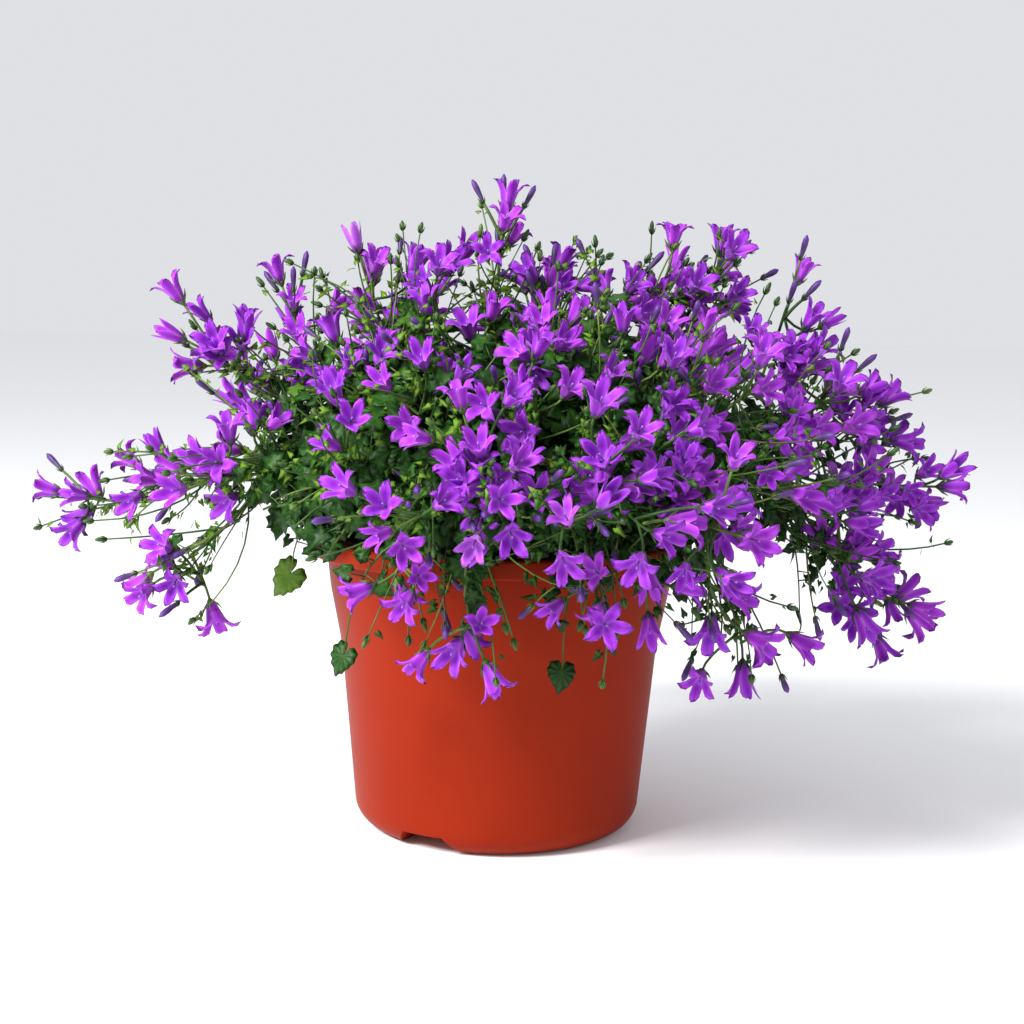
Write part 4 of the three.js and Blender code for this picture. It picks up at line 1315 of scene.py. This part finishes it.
def outer_wall():
    lip_foot = POT_HEIGHT - LIP_HEIGHT
    lip_middle = LIP_RADIUS - LIP_BEVEL
    return np.concatenate(
        [
            round_points(CORNER_MIDDLE, CORNER_ROUNDING, -90, 0, 9),
            [[SHOULDER_RADIUS - 0.3, SHOULDER_Z - 3], [SHOULDER_RADIUS + 0.3, SHOULDER_Z + 1]],
            [[COLLAR_LOW_RADIUS, COLLAR_LOW_Z]],
            [[COLLAR_TOP_RADIUS, lip_foot - 0.5], [COLLAR_TOP_RADIUS + 0.5, lip_foot]],
            round_points((lip_middle, lip_foot + LIP_BEVEL), LIP_BEVEL, -90, 0, 4),
            round_points((lip_middle, POT_HEIGHT - LIP_BEVEL), LIP_BEVEL, 0, 90, 5),
        ]
    )


def inner_wall(gap):
    inset = WALL + gap
    floor = FLOOR_Z + inset
    return np.concatenate(
        [
            [[0, floor], [FLOOR_RADIUS - inset, floor], [FOOT_INNER_RADIUS - inset, inset]],
            round_points(CORNER_MIDDLE, CORNER_ROUNDING - inset, -90, 0, 6),
            [[SHOULDER_RADIUS - inset, SHOULDER_Z], [COLLAR_LOW_RADIUS - inset, COLLAR_LOW_Z]],
        ]
    )


def drain_cutter(azimuth):
    angle = math.radians(azimuth)
    at = vec(DRAIN_RING_RADIUS * math.cos(angle), DRAIN_RING_RADIUS * math.sin(angle), 0)
    path = np.stack([at + UP * (FLOOR_Z - 4), at + UP * (FLOOR_Z + 4)])[None]
    return tubes(path, (DRAIN_HOLE_RADIUS, DRAIN_HOLE_RADIUS), 24, [0.0])


# Settings


class PotSettings(bpy.types.PropertyGroup):
    """Looks of the pot and the soil"""

    colour: FloatVectorProperty(
        name="Pot colour",
        description="Colour of the moulded plastic",
        subtype="COLOR",
        default=linear("#86220A"),
        min=0,
        max=1,
    )
    soil: FloatVectorProperty(
        name="Soil colour",
        description="Colour of the damp potting mix",
        subtype="COLOR",
        default=linear("#2E2118"),
        min=0,
        max=1,
    )
    columns: IntProperty(
        name="Facets", description="Facets round the pot's wall", default=144, min=24, max=360
    )


class GrowthSettings(bpy.types.PropertyGroup):
    """How full the fine growth is"""

    petal: FloatVectorProperty(
        name="Petal colour",
        description="Violet of the petals",
        subtype="COLOR",
        default=linear("#962CC0"),
        min=0,
        max=1,
    )
    leaf: FloatVectorProperty(
        name="Leaf colour",
        description="Green of the leaves",
        subtype="COLOR",
        default=linear("#1A400A"),
        min=0,
        max=1,
    )
    heart_leaves: IntProperty(
        name="Heart leaves", description="Small leaves over each shoot's heart", default=215, min=0, max=600
    )
    fillers: IntProperty(
        name="Leafy side stems", description="Side stems that fill each shoot", default=34, min=0, max=80
    )
    rim_stems: IntProperty(
        name="Rim stems", description="Short leafy stems over the pot's lip", default=9, min=0, max=40
    )
    twigs: IntProperty(
        name="Bud twigs", description="Thin twigs with a bud on each spray", default=12, min=0, max=40
    )


class LightSettings(bpy.types.PropertyGroup):
    """Light on the stage"""

    key: FloatProperty(
        name="Key light",
        description="Strength of the large light at the front left",
        default=27.5,
        min=0,
        unit="POWER",
    )
    fill: FloatProperty(
        name="Fill light",
        description="Strength of the weak light at the right",
        default=0.6,
        min=0,
        unit="POWER",
    )
    sky: FloatProperty(
        name="Sky", description="Strength of the even white surroundings", default=0.8, min=0
    )


# Operators


class BELLFLOWER_OT_pot(bpy.types.Operator):
    """Builds the moulded pot with its lip, foot ring, drainage channel and holes"""

    bl_idname = "bellflower.pot"
    bl_label = "Build Pot"

    def execute(self, context):
        settings = context.scene.bellflower_pot
        under = [[0, FLOOR_Z], [FLOOR_RADIUS, FLOOR_Z], [FOOT_INNER_RADIUS, 0]]
        mouth = [[COLLAR_TOP_RADIUS - WALL, POT_HEIGHT]]
        outline = np.concatenate([under, outer_wall(), mouth, inner_wall(0)[::-1]])
        pot = plain_object("pot_fine", turned(outline, settings.columns))
        corner = round_points(CORNER_MIDDLE, CORNER_ROUNDING - 0.4, -90, 0, 7)
        envelope = np.concatenate([[[0, corner[0, 1]]], corner, [[corner[-1, 0], 20], [0, 20]]])
        roof = plain_object("roof", channel_bar(WALL, 0.2))
        combine(roof, [("INTERSECT", plain_object("envelope", turned(envelope, settings.columns)))])
        steps = [("UNION", roof), ("DIFFERENCE", plain_object("channel", channel_bar(0, -1)))]
        for side in (CHANNEL_AZIMUTH + 90, CHANNEL_AZIMUTH + 270):
            for azimuth in (side - DRAIN_SPREAD, side + DRAIN_SPREAD):
                steps.append(("DIFFERENCE", plain_object("drain", drain_cutter(azimuth))))
        combine(pot, steps)
        mesh = pot.data
        mesh.polygons.foreach_set("use_smooth", np.ones(len(mesh.polygons), dtype=bool))
        mesh.set_sharp_from_angle(angle=math.radians(CREASE_DEGREES))
        mesh.update()
        mesh.materials.clear()
        mesh.materials.append(pot_material(settings.colour[:]))
        mesh.polygons.foreach_set("material_index", np.zeros(len(mesh.polygons), dtype=np.int32))
        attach(pot, "root")
        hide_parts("pot")
        return {"FINISHED"}


class BELLFLOWER_OT_soil(bpy.types.Operator):
    """Builds the heaped potting soil"""

    bl_idname = "bellflower.soil"
    bl_label = "Build Soil"

    def execute(self, context):
        settings = context.scene.bellflower_pot
        edge = COLLAR_LOW_RADIUS - WALL - GAP + 0.3
        top = [[radius, SOIL_TOP_Z - (radius / edge) ** 4] for radius in np.linspace(edge, 0, 34)]
        points, faces, marks = turned(np.concatenate([inner_wall(GAP), top]), 120)
        x, y, z = points.T
        heap = SOIL_RELIEF * np.sin(0.17 * x + 1) * np.cos(0.15 * y + 0.4)
        crumbs = 0.5 * np.sin(1.3 * x + 2.1 * np.sin(0.9 * y)) * np.cos(1.1 * y + 1.7 * np.sin(0.8 * x))
        height = z + np.where(z > SOIL_TOP_Z - 1.2, heap + crumbs, 0)
        angle = math.radians(CHANNEL_AZIMUTH)
        off = np.abs(y * math.cos(angle) - x * math.sin(angle))
        slope = (CHANNEL_TOP_HALF_WIDTH - CHANNEL_LOW_HALF_WIDTH) / CHANNEL_HEIGHT
        wall = CHANNEL_LOW_HALF_WIDTH + WALL
        roof = np.clip((off - wall) / slope, 0, CHANNEL_HEIGHT) + WALL + GAP + 0.5
        points[:, 2] = np.where(off < wall + GAP, np.maximum(height, roof), height)
        soil = soil_material(settings.soil[:])
        make_piece("soil_fine", (points, faces, marks), soil, ["potting_soil"])
        return {"FINISHED"}


class BELLFLOWER_OT_shoots(bpy.types.Operator):
    """Builds the leafy shoots: stems, leaves and the crowded young growth"""

    bl_idname = "bellflower.shoots"
    bl_label = "Build Leafy Shoots"

    def execute(self, context):
        settings = context.scene.bellflower_growth
        green, bark = leaf_material(settings.leaf[:]), stem_material()
        middles = bell_middles()
        for place, name in enumerate(SHOOTS):
            rng = np.random.default_rng(SHOOT_SEED + place)
            own = sprays_of(place)
            stems = np.stack([bezier(spray.curve, np.linspace(0, 1, 13)) for spray in own])
            fillers = filler_curves(rng, place, settings.fillers)
            rims = rim_curves(rng, place, settings.rim_stems)
            big = self.large_leaves(rng, place)
            small = join_tables(
                heart_leaves(rng, place, settings.heart_leaves, HEART_LAYERS),
                leaves_along(rng, fillers, 14, (3.0, 5.6), 0.4),
                leaves_along(rng, rims, 8, (3.0, 5.4), 0.2, youth_and_shade=RIM_TONE_AND_SHADE[place]),
                leaves_along(rng, stems, [leaf_count(spray) for spray in own], (2.2, 4.6), 0.5, 0.12),
            )
            clear = clear_of_pot(small["middle"], small["size"]) & clear_of_pot(small["root"], 0.5)
            small = keep_rows(small, clear & clear_of_bells(small["middle"], middles, 7.5))
            long = np.linalg.norm(big["middle"] - big["root"], axis=1) > LONG_STALK
            hanging = stalk_paths(keep_rows(big, long), 7)
            small = join_tables(small, leaves_along(rng, hanging, 7, (2.2, 4.2), 0.1, 0.05, 0.8))
            blades = (leaf_shapes(big, *LARGE_BLADE), leaf_shapes(small, *SMALL_BLADE), self.core(place))
            wood = (
                tubes(stems, (0.85, 0.5), 5, rng.random(len(stems))),
                tubes(fillers, (0.65, 0.35), 4, rng.random(len(fillers))),
                tubes(rims, (0.6, 0.35), 4, rng.random(len(rims))),
                self.bases(rng, place),
                leaf_stalks(big, 0.45, 7),
                leaf_stalks(small, 0.3, 3),
            )
            nodes = ["leafy_shoot_" + name]
            make_piece(f"leaves_{name}", join(*blades), green, nodes)
            make_piece(f"stems_{name}", join(*wood), bark, nodes)
        return {"FINISHED"}

    def large_leaves(self, rng, place):
        """The plan's own leaves; at the left, the first one over the rim is turned to show its face."""
        leaves = gather(plan_plant()[1][place], ("root", "middle", "face", "way", "size"))
        count = len(leaves["size"])
        leaves["cup"] = rng.uniform(-0.28, -0.08, count)
        leaves["fold"] = rng.uniform(0.05, 0.3, count)
        leaves["size"] = 0.85 * leaves["size"]
        leaves["shade"] = leaf_tone_with_painted_shade(rng, leaves["middle"], -0.1)
        if SHOOTS[place] == "left":
            face, size = unit(vec(-0.4, -0.85, 0.35)), 0.8 * RIM_LEAVES[0][3]
            turned_leaf = leaf_at(vec(-54, -26, 112), vec(-71, -14, 86), face, size)
            for key, value in turned_leaf.items():
                leaves[key][0] = value
            leaves["shade"][0] = 0.9
        return leaves

    def core(self, place):
        """The crowded inside of a heart, a smaller egg whose radius is rippled, painted near black as
        shade.
        """
        polar = np.linspace(-1, 1, 16)[1:-1, None] * (math.pi / 2)
        ball = around(np.cos(polar), turns(24), np.sin(polar))
        x, y, z = np.moveaxis(ball, -1, 0)
        knob = 0.76 + 0.1 * np.sin(9 * x + place) * np.cos(8 * y) * np.sin(9 * z + 1)
        local = (knob[..., None] * ball * HEART_AXES).reshape(-1, 3)
        tip = 0.72 * HEART_AXES[2]
        x, y, z = np.concatenate([local, [[0, 0, -tip], [0, 0, tip]]]).T
        cos, sin = math.cos(math.radians(place * SECTOR)), math.sin(math.radians(place * SECTOR))
        points = np.stack([x * cos - y * sin, x * sin + y * cos, z], axis=1) + heart_middle(place)
        # The lowest shade mark gives the core the leaves' near black painted shade.
        return points, ring_faces(*ball.shape[:2]), np.tile([1.0, 0.5, 0.0], (len(points), 1))

    def bases(self, rng, place):
        """Stems that come out of the soil under a heart and spread up into it."""
        count = 9
        turn = turns(count) + rng.uniform(0, 0.5, count)
        reach = rng.uniform(0.5, 4.4, count)
        foot = heart_middle(place) * [1, 1, 0] + around(reach, turn, 80)
        head = foot + around(1.4 * reach, turn, 28)
        paths = bends(foot, head, np.tile(UP * 16, (count, 1)), 6)
        return tubes(paths, (1.1, 0.9), 5, rng.random(count))


class BELLFLOWER_OT_sprays(bpy.types.Operator):
    """Builds the flower sprays: bells with their calyx, style and stalk, buds and twigs"""

    bl_idname = "bellflower.sprays"
    bl_label = "Build Flower Sprays"

    def execute(self, context):
        settings = context.scene.bellflower_growth
        petal, bark, pale = petal_material(settings.petal[:]), stem_material(), style_material()
        closed, green = bud_material(), leaf_material(settings.leaf[:])
        middles = bell_middles()
        for place, name in enumerate(SHOOTS):
            rng = np.random.default_rng(FLOWER_SEED + place)
            own = sprays_of(place)
            nodes = [f"flower_spray_{spray.number + 1:02d}" for spray in own]
            bells = join_tables(*[bell_table(spray, rng) for spray in own])
            bells = join_tables(bells, massed_blooms(bells, place, rng), back_blooms(bells, rng))
            twigs = twig_table(rng, own, settings.twigs)
            ends = twigs["end"]
            twigs = keep_rows(twigs, clear_of_bells(ends, middles, 7.0) & clear_of_pot(ends, 2.0))
            paths = bends(twigs["root"], twigs["end"], twigs["pull"], 7)
            violet, leafy = self.twig_buds(rng, twigs, paths)
            long_violet, long_leafy = self.long_buds(rng, own)
            stalks = (
                stalk_shapes(bells),
                tubes(paths, (0.38, 0.26), 4, twigs["shade"]),
                calyx_shapes(bells),
                *leafy,
                *long_leafy,
            )
            bracts = leaves_along(rng, paths, 6, (1.2, 2.7), 0.9, 0.1, 0.95, 0.2)
            at = bracts["middle"]
            bracts = keep_rows(bracts, clear_of_bells(at, middles, 6.5) & clear_of_pot(at, 1.5))
            make_piece(f"bells_{name}", bell_shapes(bells), petal, nodes)
            make_piece(f"styles_{name}", style_shapes(bells), pale, nodes)
            make_piece(f"closed_buds_{name}", join(*violet, *long_violet), closed, nodes)
            make_piece(f"stalks_{name}", join(*stalks), bark, nodes)
            make_piece(f"bracts_{name}", leaf_shapes(bracts, *BRACT_BLADE), green, nodes)
        return {"FINISHED"}

    def twig_buds(self, rng, twigs, paths):
        """The buds on the twigs' ends: the violet ones, then apart the calyces and the green ones."""
        way = units(paths[:, -1] - paths[:, -2])
        end, shade = twigs["end"], twigs["shade"]
        ripe = shade > RIPE
        length = np.where(ripe, rng.uniform(5.5, 8.5, len(way)), rng.uniform(2.6, 4.6, len(way)))
        violet, green = (
            bud_shapes(end[kept], way[kept], length[kept], radii, shade[kept])
            for kept, radii in ((ripe, VIOLET_BUD_RADII), (~ripe, GREEN_BUD_RADII))
        )
        return [violet], [bud_calyx(end, way, shade), green]

    def long_buds(self, rng, sprays):
        """The plan's own long closed buds, and apart from them their stalks and calyces."""
        drawn = [bud for spray in sprays for bud in spray.buds]
        if not drawn:
            return [], []
        root, tip = np.array(drawn).transpose(1, 0, 2)
        way = units(tip - root)
        foot = tip - way * LONG_BUD
        shades = rng.random((3, len(drawn)))
        violet = bud_shapes(foot, way, np.full(len(drawn), LONG_BUD), VIOLET_BUD_RADII, shades[0])
        stalk = tubes(bends(root, foot, (foot - root) * 0.5 + UP, 5), (0.6, 0.5), 4, shades[1])
        return [violet], [stalk, bud_calyx(foot, way, shades[2])]


# The floor in millimetres; the camera in metres, with its lens in millimetres, set to match the photo.
FLOOR_HALF_WIDTH = 6000.0
LIT_POINT = (0, 0, 0.12)
EYE = (0, -0.5876, 0.1816)
TARGET = (0.00365, 0, 0.1068)
LENS = 61.1
ROLL_DEGREES = 1.02


class BELLFLOWER_OT_stage(bpy.types.Operator):
    """Sets the floor, the lights and the camera at the photograph's angle"""

    bl_idname = "bellflower.stage"
    bl_label = "Build Stage"

    def execute(self, context):
        settings = context.scene.bellflower_light
        corners = np.array([[-1, -1, 0], [1, -1, 0], [1, 1, 0], [-1, 1, 0]]) * FLOOR_HALF_WIDTH
        floor = plain_object("floor", (corners, [np.array([[0, 1, 2, 3]])]))
        # Almost white, so that the far floor is as bright as the surroundings and no line parts them.
        paper = new_material("pale_floor", Roughness=0.9, Base_Color=rgba(linear("#FDFDFD")))[0]
        floor.data.materials.append(paper)
        world = bpy.data.worlds.new("studio")
        world.use_nodes = True
        sky = world.node_tree.nodes["Background"]
        sky.inputs["Color"].default_value = rgba(linear("#F6F8FC"))
        sky.inputs["Strength"].default_value = settings.sky
        context.scene.world = world
        context.scene.view_settings.view_transform = "Standard"
        self.area_light(context, "key", (-0.75, -0.62, 0.85), 0.4, settings.key)
        self.area_light(context, "fill", (0.9, -0.5, 0.35), 0.8, settings.fill)
        self.camera(context)
        return {"FINISHED"}

    def area_light(self, context, name, place, size, power):
        light = bpy.data.lights.new(name, "AREA")
        light.size = size
        light.energy = power
        lamp = bpy.data.objects.new(name, light)
        lamp.location = place
        lamp.rotation_euler = (Vector(LIT_POINT) - Vector(place)).to_track_quat("-Z", "Y").to_euler()
        context.collection.objects.link(lamp)

    def camera(self, context):
        lens = bpy.data.cameras.new("photo_view")
        lens.sensor_width = 36
        lens.lens = LENS
        camera = bpy.data.objects.new("photo_view", lens)
        turn = (Vector(TARGET) - Vector(EYE)).to_track_quat("-Z", "Y").to_matrix().to_4x4()
        roll = Matrix.Rotation(math.radians(ROLL_DEGREES), 4, "Z")
        camera.matrix_world = Matrix.Translation(EYE) @ turn @ roll
        context.collection.objects.link(camera)
        context.scene.camera = camera


class BELLFLOWER_PT_panel(bpy.types.Panel):
    """Buttons that build the potted bellflower piece by piece"""

    bl_label = "Bellflower"
    bl_idname = "BELLFLOWER_PT_panel"
    bl_space_type = "VIEW_3D"
    bl_region_type = "UI"
    bl_category = "Bellflower"

    def draw(self, context):
        layout = self.layout
        scene = context.scene
        for settings in (scene.bellflower_pot, scene.bellflower_growth, scene.bellflower_light):
            box = layout.box()
            for name in settings.bl_rna.properties.keys():
                if name not in {"rna_type", "name"}:
                    box.prop(settings, name)
        for operator in OPERATORS:
            layout.operator(operator.bl_idname)


OPERATORS = (
    BELLFLOWER_OT_pot,
    BELLFLOWER_OT_soil,
    BELLFLOWER_OT_shoots,
    BELLFLOWER_OT_sprays,
    BELLFLOWER_OT_stage,
)
CLASSES = (PotSettings, GrowthSettings, LightSettings, *OPERATORS, BELLFLOWER_PT_panel)


def register():
    for kind in CLASSES:
        bpy.utils.register_class(kind)
    bpy.types.Scene.bellflower_pot = PointerProperty(type=PotSettings)
    bpy.types.Scene.bellflower_growth = PointerProperty(type=GrowthSettings)
    bpy.types.Scene.bellflower_light = PointerProperty(type=LightSettings)


def unregister():
    del bpy.types.Scene.bellflower_light
    del bpy.types.Scene.bellflower_growth
    del bpy.types.Scene.bellflower_pot
    for kind in reversed(CLASSES):
        bpy.utils.unregister_class(kind)


def main():
    register()
    bpy.ops.bellflower.pot()
    bpy.ops.bellflower.soil()
    bpy.ops.bellflower.shoots()
    bpy.ops.bellflower.sprays()
    bpy.ops.bellflower.stage()


if __name__ == "__main__":
    main()
